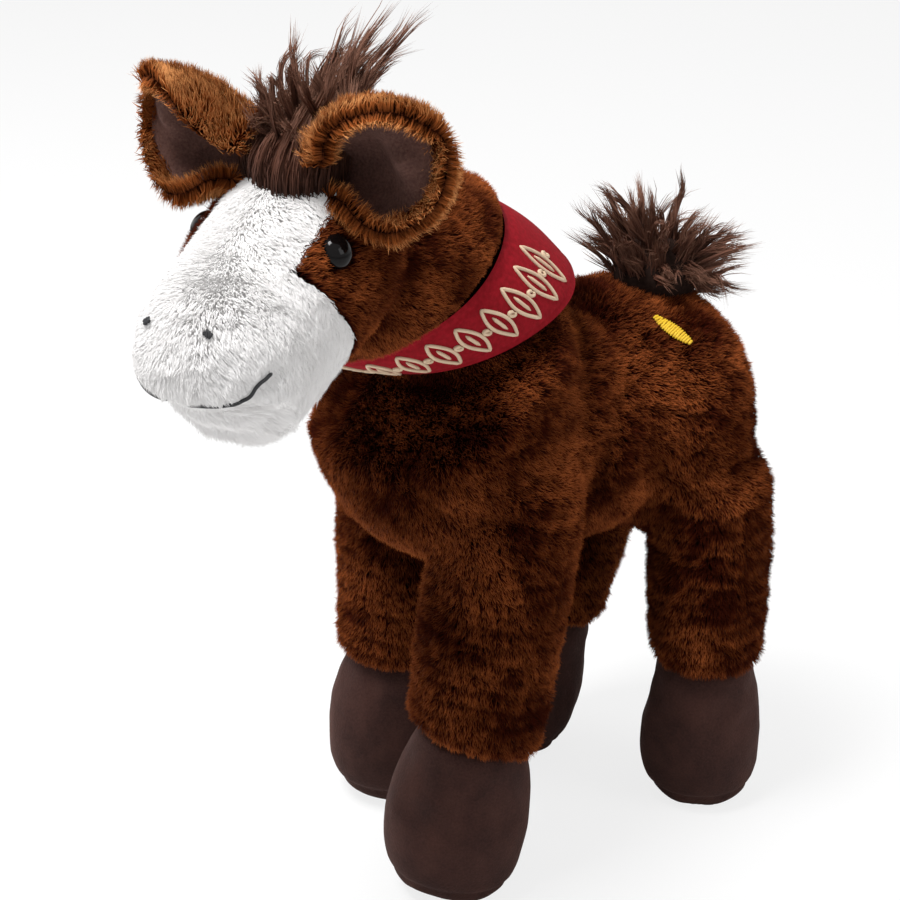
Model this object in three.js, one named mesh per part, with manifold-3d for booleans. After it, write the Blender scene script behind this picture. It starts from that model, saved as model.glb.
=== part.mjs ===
// A standing plush horse foal, about 30 cm tall. Millimetres, +Z up.
// The horse looks along -Y and its left side is +X. The skins are sewn shells round stuffed
// cores, and the legs, neck, head, ears and tail flex where they are sewn on.
import * as THREE from 'three';
import { mergeVertices } from 'three/addons/utils/BufferGeometryUtils.js';
import Module from 'manifold-3d';

const wasm = await Module();
wasm.setup();

// Clearances and cloth
const seamGap = 0.3;
const flexGap = 0.6;
const weldDistance = 0.0005;
const plushThickness = 3;
const velourThickness = 1.6;
const overrun = 60;
const solePress = 1;

// Trunk
const barrelLength = 124;
const barrelWidth = 86;
const barrelHeight = 90;
const barrelMiddleHeight = 154;
const chestWidth = 103;
const chestDepth = 90;
const chestForward = 47;
const chestLean = 8;
const chestBottomHeight = 116;
const chestTopHeight = 228;
const rumpBack = 37.5;
const rumpWidth = 100;
const rumpDepth = 63;
const rumpBottomHeight = 106;
const rumpTopHeight = 194;

// Legs
const frontLegRadius = 24.5;
const hindLegRadius = 21.5;
const legSpread = 33;
const frontLegForward = 40;
const hindLegBack = 45;
const frontCreaseHeight = 142;
const hindCreaseHeight = 126;
const hoofHeight = 60;
const toeBulge = 2.6;
const nearFrontLean = -10;
const farFrontLean = -3;
const nearHindLean = 1.5;
const farHindLean = -18;

// Neck and scarf
const neckTilt = 34;
const neckForward = 52;
const neckHeight = 217;
const neckRadius = 35.5;
const neckLength = 38;
const scarfWidth = 23;
const scarfThickness = 2.6;

// Head
const headTurn = 28;
const headPitch = 6.5;
const skullReach = 67.5;
const skullRise = 25.3;
const napeRadius = 36.5;
const napeDrop = 2.5;
const headLength = 102;
const headWidth = 58;
const headHeight = 58;
const blazeWidth = 33;
const muzzleLength = 37;
const muzzleLean = 32;
const foreheadBack = 8;

// Eyes
const eyeRadius = 5.2;
const eyeForward = 20;
const eyeRise = 12;
const shankRadius = 1.5;
const washerRadius = 6.5;
const washerThickness = 1.5;

// Ears
const earLength = 34;
const earWidth = 38;
const earCup = 10;
const earSpread = 18;
const earForward = 0;
const earRise = 31;

// Forelock and tail
const lockRadius = 4.2;
const forelockHeight = 46;
const forelockWidth = 34;
const forelockDepth = 34;
const forelockPad = 10;
const forelockRise = 26;
const forelockBack = 3;
const forelockLean = 0.55;
const tailHeight = 38;
const tailWidth = 34;
const tailPad = 9;
const tailBack = 42;
const tailSink = 5;

// Range of each flexing seam, in degrees, and the step between the poses that are cut clear
const frontForwardSwing = 30;
const hindForwardSwing = 15;
const nearFrontBackSwing = 12;
const farFrontBackSwing = 2;
const nearHindBackSwing = 28;
const farHindBackSwing = 33;
const farHindForwardSwing = 2;
const tailSwing = 12;
const nodUp = 8;
const nodDown = 8;
const earFold = 15;
const sweepStep = 8;

// Facets
const trunkSides = 20;
const limbSides = 16;
const neckSides = 24;
const smallSides = 8;

const degrees = (angle) => (angle * Math.PI) / 180;
const spread = (count) => Array.from({ length: count + 1 }, (_, k) => k / count);
const mix = (a, b, share) => a + (b - a) * share;

// A closed body through rings along +Z. A station holds its height z, its middle x and y, its half
// sizes and how far its two halves are drawn apart along X; one of no size is a pole. An end that
// isn't a pole is closed flat.
function loft(stations, sides) {
  const places = [];
  const faces = [];
  const rings = stations.map(({ z, x = 0, y = 0, halfX, halfY = halfX, apart = 0 }) => {
    const first = places.length / 3;
    const count = halfX > 0 ? sides : 1;
    for (let k = 0; k < count; k += 1) {
      const turn = (2 * Math.PI * k) / sides;
      const side = Math.abs(Math.cos(turn)) < 1e-9 ? 0 : Math.sign(Math.cos(turn));
      places.push(x + side * apart + halfX * Math.cos(turn), y + halfY * Math.sin(turn), z);
    }
    return { first, count, x, y, z };
  });
  const around = (ring, k) => ring.first + (k % ring.count);
  for (let i = 0; i + 1 < rings.length; i += 1) {
    const [low, high] = [rings[i], rings[i + 1]];
    for (let k = 0; k < sides; k += 1) {
      if (low.count > 1) {
        faces.push(around(low, k), around(low, k + 1), around(high, k + 1));
      }
      if (high.count > 1) {
        faces.push(around(low, k), around(high, k + 1), around(high, k));
      }
    }
  }
  const [start, end] = [rings[0], rings[rings.length - 1]];
  for (const [ring, turned] of [[start, true], [end, false]]) {
    if (ring.count > 1) {
      const middle = places.length / 3;
      places.push(ring.x, ring.y, ring.z);
      for (let k = 0; k < sides; k += 1) {
        const pair = [around(ring, k), around(ring, k + 1)];
        faces.push(middle, ...(turned ? pair.reverse() : pair));
      }
    }
  }
  const geometry = new THREE.BufferGeometry();
  geometry.setAttribute('position', new THREE.Float32BufferAttribute(places, 3));
  geometry.setIndex(faces);
  return geometry;
}

function solid(geometry) {
  const plain = geometry.clone();
  plain.deleteAttribute('normal');
  plain.deleteAttribute('uv');
  const merged = mergeVertices(plain, weldDistance);
  const { position } = merged.attributes;
  return new wasm.Manifold(new wasm.Mesh({
    numProp: 3,
    vertProperties: new Float32Array(position.array),
    triVerts: new Uint32Array(merged.index.array),
  }));
}

// A frame with its z along one direction, its x as near as it can be to another.
function frame(origin, along, towards) {
  const z = along.clone().normalize();
  const y = new THREE.Vector3().crossVectors(z, towards).normalize();
  const x = new THREE.Vector3().crossVectors(y, z);
  return new THREE.Matrix4().makeBasis(x, y, z).setPosition(origin);
}

const vector = (x, y, z) => new THREE.Vector3(x, y, z);
const [left, back, up] = [vector(1, 0, 0), vector(0, 1, 0), vector(0, 0, 1)];
const placed = (geometry, matrix) => solid(geometry.clone().applyMatrix4(matrix));
const moved = (body, matrix) => body.transform([...matrix.elements]);

// A turn about an axis through a point.
function turnAbout(point, axis, angle) {
  return new THREE.Matrix4()
    .makeTranslation(point.x, point.y, point.z)
    .multiply(new THREE.Matrix4().makeRotationAxis(axis, degrees(angle)))
    .multiply(new THREE.Matrix4().makeTranslation(-point.x, -point.y, -point.z));
}

const joined = (bodies) => bodies.reduce((whole, body) => whole.add(body));

// The room that a body sweeps as it turns between two angles.
function sweep(body, point, axis, from, to) {
  const count = Math.max(1, Math.ceil((to - from) / sweepStep));
  return joined(spread(count).map((share) => moved(body, turnAbout(point, axis, mix(from, to, share)))));
}

function slab(width, depth, height, matrix) {
  return placed(new THREE.BoxGeometry(width, depth, height), matrix);
}

// A rounded column along +Z: full in the middle and drawn in at both ends.
function column(length, halfX, halfY, rings, squareness) {
  return spread(rings).map((share) => {
    const along = -Math.cos(Math.PI * share);
    const full = (1 - Math.abs(along) ** squareness) ** (1 / squareness);
    return { z: (along * length) / 2, halfX: halfX * full, halfY: halfY * full };
  });
}

// Trunk: a barrel with a chest and a rump that widen over the legs
const trunkSquareness = 2.5;
const trunkRings = 8;
const lobeRings = 8;
const backTilt = frame(vector(0, 0, barrelMiddleHeight), back, up);

function trunkForm(inset) {
  const barrel = placed(
    loft(column(barrelLength - 2 * inset, barrelHeight / 2 - inset, barrelWidth / 2 - inset,
      trunkRings, trunkSquareness), trunkSides),
    backTilt,
  );
  const lobe = (low, high, width, depth, along, lean) => placed(
    loft(column(high - low - 2 * inset, width / 2 - inset, depth / 2 - inset,
      lobeRings, trunkSquareness), trunkSides),
    frame(
      vector(0, along, (low + high) / 2),
      vector(0, -Math.sin(degrees(lean)), Math.cos(degrees(lean))),
      left,
    ),
  );
  const chest = lobe(chestBottomHeight, chestTopHeight, chestWidth, chestDepth, -chestForward, chestLean);
  const rump = lobe(rumpBottomHeight, rumpTopHeight, rumpWidth, rumpDepth, rumpBack, 0);
  return barrel.add(chest).add(rump);
}

// Legs: a tube with a domed top that turns in the trunk like a ball in a socket
const legRings = 3;
const domeRings = 3;
const ballRings = 6;
const roomRings = 4;
const legSwellShare = 0.035;
const cuffShare = 0.95;
const hoofWidthShare = 0.97;
const legs = [
  {
    name: 'front_left', side: 1, front: true, rest: nearFrontLean,
    min: -frontForwardSwing, max: nearFrontBackSwing,
  },
  {
    name: 'front_right', side: -1, front: true, rest: farFrontLean,
    min: -frontForwardSwing, max: farFrontBackSwing,
  },
  {
    name: 'hind_left', side: 1, front: false, rest: nearHindLean,
    min: -hindForwardSwing, max: nearHindBackSwing,
  },
  {
    name: 'hind_right', side: -1, front: false, rest: farHindLean,
    min: -farHindForwardSwing, max: farHindBackSwing,
  },
].map((leg) => ({
  ...leg,
  radius: leg.front ? frontLegRadius : hindLegRadius,
  pivot: vector(
    leg.side * legSpread,
    leg.front ? -frontLegForward : hindLegBack,
    leg.front ? frontCreaseHeight : hindCreaseHeight,
  ),
}));

function legTube({ radius }, length, inset) {
  const reach = radius - inset;
  const dome = spread(domeRings).slice(0, -1).map((share) => ({
    z: -reach * Math.cos((Math.PI / 2) * share),
    halfX: reach * Math.sin((Math.PI / 2) * share),
  }));
  const tube = spread(legRings).map((share) => ({
    z: length * share,
    halfX: radius * mix(1, cuffShare, share) * (1 + legSwellShare * Math.sin(Math.PI * share)) - inset,
  }));
  return loft([...dome, ...tube], limbSides);
}

// The hoof's half width down from the cuff, as shares of the hoof's radius. Its toe bulges forward.
const hoofShares = [
  [0, 0.8], [0.12, 0.86], [0.35, 0.97], [0.6, 1], [0.8, 0.93], [0.93, 0.74], [1, 0.5],
];

function hoofForm({ radius }, top) {
  return loft(hoofShares.map(([along, width]) => {
    const bulge = (toeBulge * Math.sin(Math.PI * along)) / 2;
    const halfWidth = radius * hoofWidthShare * width;
    return {
      z: top + seamGap + (hoofHeight - seamGap) * along,
      x: -bulge,
      halfX: halfWidth + bulge,
      halfY: halfWidth,
    };
  }), limbSides);
}

const legFrameAt = (leg, angle) => frame(
  leg.pivot,
  vector(0, Math.sin(degrees(angle)), -Math.cos(degrees(angle))),
  back,
);
const legFrame = (leg) => legFrameAt(leg, leg.rest);
const ground = slab(
  8 * overrun,
  8 * overrun,
  overrun,
  new THREE.Matrix4().makeTranslation(0, 0, -overrun / 2),
);

// How long the leg is from its pivot to its sole, so that the sole's middle presses on the floor.
function legLength(leg) {
  return (leg.pivot.z + solePress) / Math.cos(degrees(leg.rest));
}

// The room that the leg sweeps in the trunk between its two end stops: a round socket that opens
// into a fan. Its flats stand clear of the leg's corners.
function legRoom(leg) {
  const half = degrees((leg.max - leg.min) / 2);
  const flat = Math.cos(Math.PI / limbSides);
  const ball = (leg.radius + seamGap) / (flat * Math.cos(Math.PI / (4 * roomRings)));
  const tube = (leg.radius * (1 + legSwellShare) + flexGap) / flat;
  const socket = spread(roomRings).map((share) => {
    const turn = share * (Math.PI / 2 - half);
    return { z: -ball * Math.cos(turn), halfX: ball * Math.sin(turn) };
  });
  const fan = [[0, ball], [leg.radius / 2, tube], [legLength(leg) / 2, tube]].map(([z, reach]) => ({
    z,
    apart: z * Math.tan(half),
    halfX: reach / Math.cos(half),
    halfY: reach,
  }));
  return placed(loft([...socket, ...fan], limbSides), legFrameAt(leg, leg.rest + (leg.max + leg.min) / 2));
}

// Neck: a round ball under the scarf, drawn in to a dome inside the head
const neckPoint = vector(0, -neckForward, neckHeight);
const neckAxis = vector(0, -Math.sin(degrees(neckTilt)), Math.cos(degrees(neckTilt)));
const neckFrame = frame(neckPoint, neckAxis, back);
const neckShares = [[0.2, 0.96], [0.38, 0.88], [0.62, 0.72], [0.84, 0.46], [1, 0]];
const neckMouthShare = 0.8;

function neckForm(inset) {
  const reach = neckRadius - inset;
  const ball = spread(ballRings).map((share) => ({
    z: -reach * Math.cos((Math.PI / 2) * share),
    halfX: reach * Math.sin((Math.PI / 2) * share),
  }));
  const rise = neckShares.map(([along, width]) => ({
    z: (neckLength - inset) * along,
    halfX: Math.max(0, width * neckRadius - (width > 0 ? inset : 0)),
  }));
  return placed(loft([...ball, ...rise], neckSides), neckFrame);
}

function neckDisc(radius, low, high) {
  return placed(loft([{ z: low, halfX: radius }, { z: high, halfX: radius }], neckSides), neckFrame);
}

// Head: a loft from the skull to the nose with a deep round muzzle.
// Each row: how far along the head, half width, height above and depth below its axis, as shares.
const headShares = [
  [0, 0, 0.1, -0.1],
  [0.04, 0.5, 0.55, 0.45],
  [0.13, 0.84, 0.85, 0.74],
  [0.25, 1, 1, 0.95],
  [0.37, 1, 1, 1.12],
  [0.48, 0.97, 0.92, 1.3],
  [0.58, 0.93, 0.79, 1.4],
  [0.68, 0.92, 0.66, 1.42],
  [0.77, 0.92, 0.57, 1.38],
  [0.86, 0.82, 0.46, 1.2],
  [0.94, 0.6, 0.22, 0.88],
  [0.98, 0.36, -0.04, 0.62],
  [1, 0, -0.28, 0.28],
];
const skullShare = 0.267;
const headFaceSides = 24;
const bearing = vector(Math.sin(degrees(headTurn)), -Math.cos(degrees(headTurn)), 0);
const skullPoint = neckPoint.clone()
  .addScaledVector(bearing, skullReach)
  .add(vector(0, 0, skullRise));
const headFrame = frame(
  skullPoint,
  bearing.clone()
    .multiplyScalar(Math.cos(degrees(headPitch)))
    .add(vector(0, 0, -Math.sin(degrees(headPitch)))),
  up,
);

function headStation([along, width, above, below], inset) {
  const pole = width === 0;
  const top = (above * headHeight) / 2 - (pole ? 0 : inset);
  const bottom = (below * headHeight) / 2 - (pole ? 0 : inset);
  const reach = headLength * (along < skullShare ? skullShare : 1 - skullShare);
  return {
    z: (along - skullShare) * headLength * (1 - inset / reach),
    x: (top - bottom) / 2,
    halfX: pole ? 0 : (top + bottom) / 2,
    halfY: pole ? 0 : (width * headWidth) / 2 - inset,
  };
}

// The nape: a thick neck that runs from inside the scarf into the skull.
// Each row: how far from the neck's middle to the skull's, and its radius as a share.
const napeShares = [[-0.45, 0.86], [-0.2, 0.93], [0.1, 0.95], [0.4, 0.89], [0.7, 0.78], [1, 0.58]];
const napeLine = skullPoint.clone().sub(neckPoint);
const napeFrame = frame(neckPoint.clone().addScaledVector(up, -napeDrop), napeLine, up);
const napeForm = (inset) => placed(
  loft(napeShares.map(([along, width]) => ({
    z: along * napeLine.length(),
    halfX: napeRadius * width - inset,
  })), neckSides),
  napeFrame,
);
const headForm = (inset) => placed(
  loft(headShares.map((row) => headStation(row, inset)), headFaceSides),
  headFrame,
).add(napeForm(inset));

// The half width of the head at a place along it and above its axis.
function headHalfWidth(forward, rise) {
  const along = forward / headLength + skullShare;
  const next = headShares.findIndex(([at]) => at > along);
  const share = (along - headShares[next - 1][0]) / (headShares[next][0] - headShares[next - 1][0]);
  const row = headShares[next].map((value, k) => mix(headShares[next - 1][k], value, share));
  const { x, halfX, halfY } = headStation(row, 0);
  return halfY * Math.sqrt(1 - ((rise - x) / halfX) ** 2);
}

// The white face: a blaze down the forehead that opens into the muzzle.
function faceCutter(grow) {
  const half = blazeWidth / 2 + grow;
  const seam = headLength * (1 - skullShare) - muzzleLength - grow;
  const [rear, fore] = [-foreheadBack - grow, seam + half];
  const blaze = slab(overrun, 2 * half, fore - rear, headFrame.clone()
    .multiply(new THREE.Matrix4().makeTranslation(overrun / 2, 0, (fore + rear) / 2)));
  const muzzle = slab(4 * overrun, 4 * overrun, 2 * overrun, headFrame.clone()
    .multiply(new THREE.Matrix4().makeTranslation(0, 0, seam))
    .multiply(new THREE.Matrix4().makeRotationY(degrees(-muzzleLean)))
    .multiply(new THREE.Matrix4().makeTranslation(0, 0, overrun)));
  return blaze.add(muzzle);
}

// Eyes: a domed button on a shank that a washer holds from inside
const eyeFacets = [14, 10];
const eyeSunkShare = 0.25;
const eyeDepthShare = 0.75;
const rod = (radius, low, high, sides) => loft([
  { z: low, halfX: radius },
  { z: high, halfX: radius },
], sides);

function eyeFrame(side) {
  const reach = headHalfWidth(eyeForward, eyeRise);
  const place = vector(eyeRise, -side * reach, eyeForward);
  const facing = vector(eyeRise / headHeight ** 2, (-side * reach) / headWidth ** 2, 0).normalize();
  return headFrame.clone().multiply(frame(place, facing, vector(0, 0, 1)));
}

const washerDepth = 2 * plushThickness;
const eyeForm = (matrix, grow) => placed(
  new THREE.SphereGeometry(eyeRadius + grow, ...eyeFacets).scale(1, 1, eyeDepthShare)
    .translate(0, 0, -eyeRadius * eyeSunkShare),
  matrix,
).add(placed(rod(shankRadius + grow, -washerDepth - washerThickness - grow, 0, smallSides), matrix));
const washerBody = (matrix, grow) => placed(
  rod(washerRadius + grow, -washerDepth - washerThickness - grow, grow - washerDepth, 2 * smallSides),
  matrix,
);

// Ears: two nested leaves that stand out sideways, cupped towards the front
const earShares = [
  [-0.1, 0.56], [0.04, 0.64], [0.2, 0.84], [0.42, 1], [0.64, 0.98], [0.82, 0.8], [0.94, 0.5], [1, 0.2],
];
const earColumns = 8;
const earLift = 16;
const earLean = 20;
const liningShare = 0.84;

function earLeaf(inner, outer, share) {
  const places = [];
  const faces = [];
  const columns = spread(earColumns).map((at) => 2 * at - 1);
  const width = columns.length;
  for (const offset of [inner, outer]) {
    for (const [along, wide] of earShares) {
      for (const across of columns) {
        const sideways = across * wide * share;
        const out = along * share * earLength;
        places.push(sideways * (earWidth / 2), earCup * sideways ** 2 + offset, out);
      }
    }
  }
  const at = (layer, row, column) => (layer * earShares.length + row) * width + column;
  const quad = (a, b, c, d) => faces.push(a, b, c, a, c, d);
  for (let row = 0; row + 1 < earShares.length; row += 1) {
    for (let k = 0; k + 1 < width; k += 1) {
      quad(at(0, row, k), at(0, row, k + 1), at(0, row + 1, k + 1), at(0, row + 1, k));
      quad(at(1, row, k), at(1, row + 1, k), at(1, row + 1, k + 1), at(1, row, k + 1));
    }
    const edge = width - 1;
    quad(at(0, row, 0), at(0, row + 1, 0), at(1, row + 1, 0), at(1, row, 0));
    quad(at(0, row, edge), at(1, row, edge), at(1, row + 1, edge), at(0, row + 1, edge));
  }
  const tip = earShares.length - 1;
  for (let k = 0; k + 1 < width; k += 1) {
    quad(at(0, 0, k), at(1, 0, k), at(1, 0, k + 1), at(0, 0, k + 1));
    quad(at(0, tip, k), at(0, tip, k + 1), at(1, tip, k + 1), at(1, tip, k));
  }
  const geometry = new THREE.BufferGeometry();
  geometry.setAttribute('position', new THREE.Float32BufferAttribute(places, 3));
  geometry.setIndex(faces);
  return geometry;
}

const earPlace = (side) => vector(earRise, -side * earSpread, earForward).applyMatrix4(headFrame);
const inHead = (x, y, z) => vector(x, y, z).transformDirection(headFrame);

// The leaf's length runs out sideways and its hollow side, local +Y, looks forward and down.
function earFrame(side) {
  const outward = inHead(Math.sin(degrees(earLift)), -side * Math.cos(degrees(earLift)), 0);
  const facing = inHead(-Math.sin(degrees(earLean)), 0, Math.cos(degrees(earLean)));
  const across = new THREE.Vector3().crossVectors(facing, outward);
  return frame(earPlace(side), outward, across);
}

// Tufts: a pad with tapering locks fanned over it by the golden angle
const lockStations = 3;
const lockCount = 10;
const lockSides = 5;
const padRings = 6;
const padSides = 12;
const padLift = 0.35;
const goldenTurn = Math.PI * (3 - Math.sqrt(5));

function tuft({ height, width, depth, pad, fan, matrix, sweepBack }) {
  const base = placed(loft(column(2 * pad, width / 2, depth / 2, padRings, 2), padSides)
    .translate(0, 0, pad * padLift), matrix);
  const locks = Array.from({ length: lockCount }, (_, k) => {
    const out = Math.sqrt((k + 0.5) / lockCount);
    const turn = k * goldenTurn;
    const [x, y] = [out * Math.cos(turn), out * Math.sin(turn)];
    const tall = height * (1 - 0.35 * out ** 2) * (0.86 + 0.14 * Math.cos(3 * turn));
    const stations = spread(lockStations).map((share) => ({
      z: tall * share,
      x: x * (width / 2 - 1.6 * lockRadius) * (1 + fan * share)
        + 0.12 * tall * Math.sin(share * 3 + turn) * share,
      y: y * (depth / 2 - 1.6 * lockRadius) * (1 + fan * share) + sweepBack * tall * share ** 2,
      halfX: share === 1 ? 0 : lockRadius * (1 - share) ** 0.7,
    }));
    return placed(loft(stations, lockSides), matrix);
  });
  return joined([base, ...locks]);
}

const forelockFrame = headFrame.clone()
  .multiply(frame(vector(forelockRise, 0, -forelockBack), vector(1, 0, -forelockLean), vector(0, 1, 0)));
const backHeight = barrelMiddleHeight + barrelHeight / 2;
const tailPoint = vector(0, tailBack, Math.max(rumpTopHeight, backHeight - tailSink));
const tailFrame = frame(tailPoint, vector(0, 0.35, 1), left);

// The pieces
const group = new THREE.Group();

function add(name, body, color, roughness) {
  const mesh = body.getMesh();
  const geometry = new THREE.BufferGeometry();
  geometry.setAttribute('position', new THREE.BufferAttribute(mesh.vertProperties, 3));
  geometry.setIndex(new THREE.BufferAttribute(mesh.triVerts, 1));
  geometry.computeVertexNormals();
  const material = new THREE.MeshStandardMaterial({ color, roughness, metalness: 0 });
  const piece = new THREE.Mesh(geometry, material);
  piece.name = name;
  group.add(piece);
}

const chestnut = 0x6b3315;
const whitePlush = 0xeeeef0;
const darkVelour = 0x3c2a28;
const maneBrown = 0x46342e;
const stuffingWhite = 0xe8e6e0;
const scarfRed = 0x8c1423;
const eyeBlack = 0x0a0a0a;
const washerGrey = 0x9a9a98;

// Scarf
const scarfFlare = 1;
const scarfRing = (radius, extra) => placed(loft([
  { z: -scarfWidth / 2 - extra, halfX: radius + scarfFlare },
  { z: 0, halfX: radius + scarfFlare / 3 },
  { z: scarfWidth / 2 + extra, halfX: radius },
], neckSides), neckFrame);
const scarfInner = neckRadius + flexGap + seamGap;
const scarfBand = scarfRing(scarfInner + scarfThickness, 0).subtract(scarfRing(scarfInner, seamGap));
add('scarf', scarfBand, scarfRed, 0.85);

// Trunk skins and stuffing
const legRooms = joined(legs.map(legRoom));
const scarfDrop = scarfWidth / 2 + flexGap;
const neckRoom = neckForm(-flexGap);
const shoulderCut = neckDisc(overrun, -scarfDrop, 2 * overrun);
const scarfRoom = sweep(
  neckDisc(scarfInner + scarfThickness + scarfFlare + 2 * flexGap, -scarfDrop, overrun),
  neckPoint, left, -nodUp, nodDown,
);
const trunkRooms = joined([legRooms, neckRoom, shoulderCut, scarfRoom]);
const trunkShell = trunkForm(0).subtract(trunkForm(plushThickness)).subtract(trunkRooms);
for (const [name, side] of [['left', 1], ['right', -1]]) {
  const half = slab(overrun * 2, overrun * 8, overrun * 8, new THREE.Matrix4()
    .makeTranslation(side * (overrun + seamGap / 2), 0, 0));
  add(`trunk_skin_${name}`, trunkShell.intersect(half), chestnut, 0.95);
}
add('trunk_stuffing', trunkForm(plushThickness + seamGap).subtract(trunkRooms), stuffingWhite, 1);

// Legs
for (const leg of legs) {
  const place = legFrame(leg);
  const cuff = legLength(leg) - hoofHeight;
  const sleeve = placed(legTube(leg, cuff, 0), place);
  const hollow = placed(legTube(leg, cuff + overrun, plushThickness), place);
  const filling = placed(legTube(leg, cuff - seamGap, plushThickness + seamGap), place);
  add(`leg_skin_${leg.name}`, sleeve.subtract(hollow), chestnut, 0.95);
  add(`leg_stuffing_${leg.name}`, filling, stuffingWhite, 1);
  add(`hoof_${leg.name}`, placed(hoofForm(leg, cuff), place).subtract(ground), darkVelour, 0.9);
}

// Neck
const mouth = neckDisc(overrun, -2 * overrun, -neckRadius * neckMouthShare);
const top = neckDisc(overrun, neckLength * neckMouthShare, 2 * overrun);
const neckShell = neckForm(0).subtract(neckForm(plushThickness)).subtract(mouth).subtract(top);
add('neck_skin', neckShell, chestnut, 0.95);
add('neck_stuffing', neckForm(plushThickness + seamGap), stuffingWhite, 1);

// Head
const throat = neckDisc(2 * overrun, -4 * overrun, scarfDrop);
const headRooms = neckRoom.add(throat);
const eyes = [1, -1].map(eyeFrame);
const eyeRooms = joined(eyes.map((matrix) => eyeForm(matrix, seamGap)));
const washerRooms = joined(eyes.map((matrix) => washerBody(matrix, seamGap)));
const headShell = headForm(0).subtract(headForm(plushThickness)).subtract(headRooms)
  .subtract(eyeRooms).subtract(washerRooms);
add('head_skin', headShell.subtract(faceCutter(seamGap)), chestnut, 0.95);
add('face_panel', headShell.intersect(faceCutter(0)), whitePlush, 0.95);
add('head_stuffing', headForm(plushThickness + flexGap).subtract(headRooms).subtract(eyeRooms)
  .subtract(washerRooms), stuffingWhite, 1);
eyes.forEach((matrix, k) => {
  const name = ['left', 'right'][k];
  const hole = placed(rod(shankRadius + seamGap, -overrun, overrun, smallSides), matrix);
  add(`eye_${name}`, eyeForm(matrix, 0), eyeBlack, 0.08);
  add(`eye_washer_${name}`, washerBody(matrix, 0).subtract(hole), washerGrey, 0.5);
});

// Ears
const flexShare = 0.04;
const earRooms = [];
for (const [name, side] of [['left', 1], ['right', -1]]) {
  const place = earFrame(side);
  const axis = vector(0, 0, 0).setFromMatrixColumn(place, 0);
  const rooms = sweep(headForm(-flexGap), earPlace(side), axis, -earFold, earFold);
  const leafRoom = earLeaf(-plushThickness - flexGap, 3 * flexGap + velourThickness, 1 + flexShare);
  const grown = placed(leafRoom, place);
  earRooms.push(sweep(grown, earPlace(side), axis, -earFold, earFold));
  const outer = placed(earLeaf(-plushThickness, 0, 1), place);
  const lining = placed(earLeaf(2 * seamGap, 2 * seamGap + velourThickness, liningShare), place);
  add(`ear_outer_${name}`, outer.subtract(rooms), chestnut, 0.95);
  add(`ear_lining_${name}`, lining.subtract(rooms), darkVelour, 0.9);
}

// Forelock and tail
add('forelock', tuft({
  height: forelockHeight, width: forelockWidth, depth: forelockDepth, pad: forelockPad,
  fan: 0.6, matrix: forelockFrame, sweepBack: 0.2,
}).subtract(headForm(-seamGap)).subtract(joined(earRooms)), maneBrown, 1);
add('tail', tuft({
  height: tailHeight, width: tailWidth, depth: tailWidth, pad: tailPad,
  fan: 1.9, matrix: tailFrame, sweepBack: 0.1,
}).subtract(sweep(trunkForm(-flexGap), tailPoint, left, -tailSwing, tailSwing)), maneBrown, 1);

const box = new THREE.Box3().setFromObject(group);
const middle = box.getCenter(new THREE.Vector3());
group.position.set(-middle.x, -middle.y, -box.min.z);
group.updateMatrixWorld(true);

export default group;
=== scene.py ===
"""A plush horse foal: stuffed pile skins, velour hooves, glossy eyes and a cloth band."""

import itertools
import math
from collections import namedtuple

import bpy
import numpy as np
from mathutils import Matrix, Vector
from mathutils.bvhtree import BVHTree


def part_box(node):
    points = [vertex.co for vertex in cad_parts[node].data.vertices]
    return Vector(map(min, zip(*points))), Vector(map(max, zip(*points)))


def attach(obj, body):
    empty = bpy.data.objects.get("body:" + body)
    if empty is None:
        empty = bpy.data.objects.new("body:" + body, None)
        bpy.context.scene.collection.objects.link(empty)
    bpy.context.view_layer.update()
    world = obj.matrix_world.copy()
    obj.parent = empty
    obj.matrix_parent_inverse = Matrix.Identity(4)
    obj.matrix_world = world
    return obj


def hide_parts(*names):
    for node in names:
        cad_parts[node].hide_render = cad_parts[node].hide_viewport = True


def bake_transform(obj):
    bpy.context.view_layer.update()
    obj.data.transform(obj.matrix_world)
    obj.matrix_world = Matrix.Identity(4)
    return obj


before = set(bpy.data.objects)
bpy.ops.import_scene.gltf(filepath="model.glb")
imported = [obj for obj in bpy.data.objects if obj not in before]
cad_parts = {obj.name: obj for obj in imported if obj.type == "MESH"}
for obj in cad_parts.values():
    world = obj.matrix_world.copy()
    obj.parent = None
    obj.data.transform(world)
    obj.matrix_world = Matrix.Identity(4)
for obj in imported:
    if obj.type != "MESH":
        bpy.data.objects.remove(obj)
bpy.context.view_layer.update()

# Where the part's working frame, in millimetres, lies in the row frame
TRUNK_FRONT = -89.0
trunk_low, trunk_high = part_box("trunk_stuffing")
SHIFT = np.array([(trunk_low.x + trunk_high.x) * 500, trunk_low.y * 1000 - TRUNK_FRONT, 0.0])

# Trunk, in millimetres: a barrel, a chest and a rump
BARREL = dict(length=124, width=86, height=90, middle=154)
CHEST = dict(low=116, high=228, width=103, depth=90, along=-47, lean=8)
RUMP = dict(low=106, high=194, width=100, depth=63, along=37.5, lean=0)
SQUARENESS = 2.5

# The cloth lies this far inside the part's own surface, and pile fills the rest
UNDER = 2.4

# Legs: side, place along the trunk, pivot height, radius and resting angle
Leg = namedtuple("Leg", "side along height radius rest")
LEGS = {
    "front_left": Leg(1, -40, 142, 24.5, -10.0),
    "front_right": Leg(-1, -40, 142, 24.5, -3.0),
    "hind_left": Leg(1, 45, 126, 21.5, 1.5),
    "hind_right": Leg(-1, 45, 126, 21.5, -18.0),
}
SIDES = (("left", 1), ("right", -1))
LEG_SPREAD = 33
CUFF_SHARE = 0.95
SWELL_SHARE = 0.035
HOOF_HEIGHT = 60
CUFF_SLANT = {"front_left": 5.0}
SOLE_PRESS = 1.0
HOOF_WIDTH_SHARE = 0.97

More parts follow.
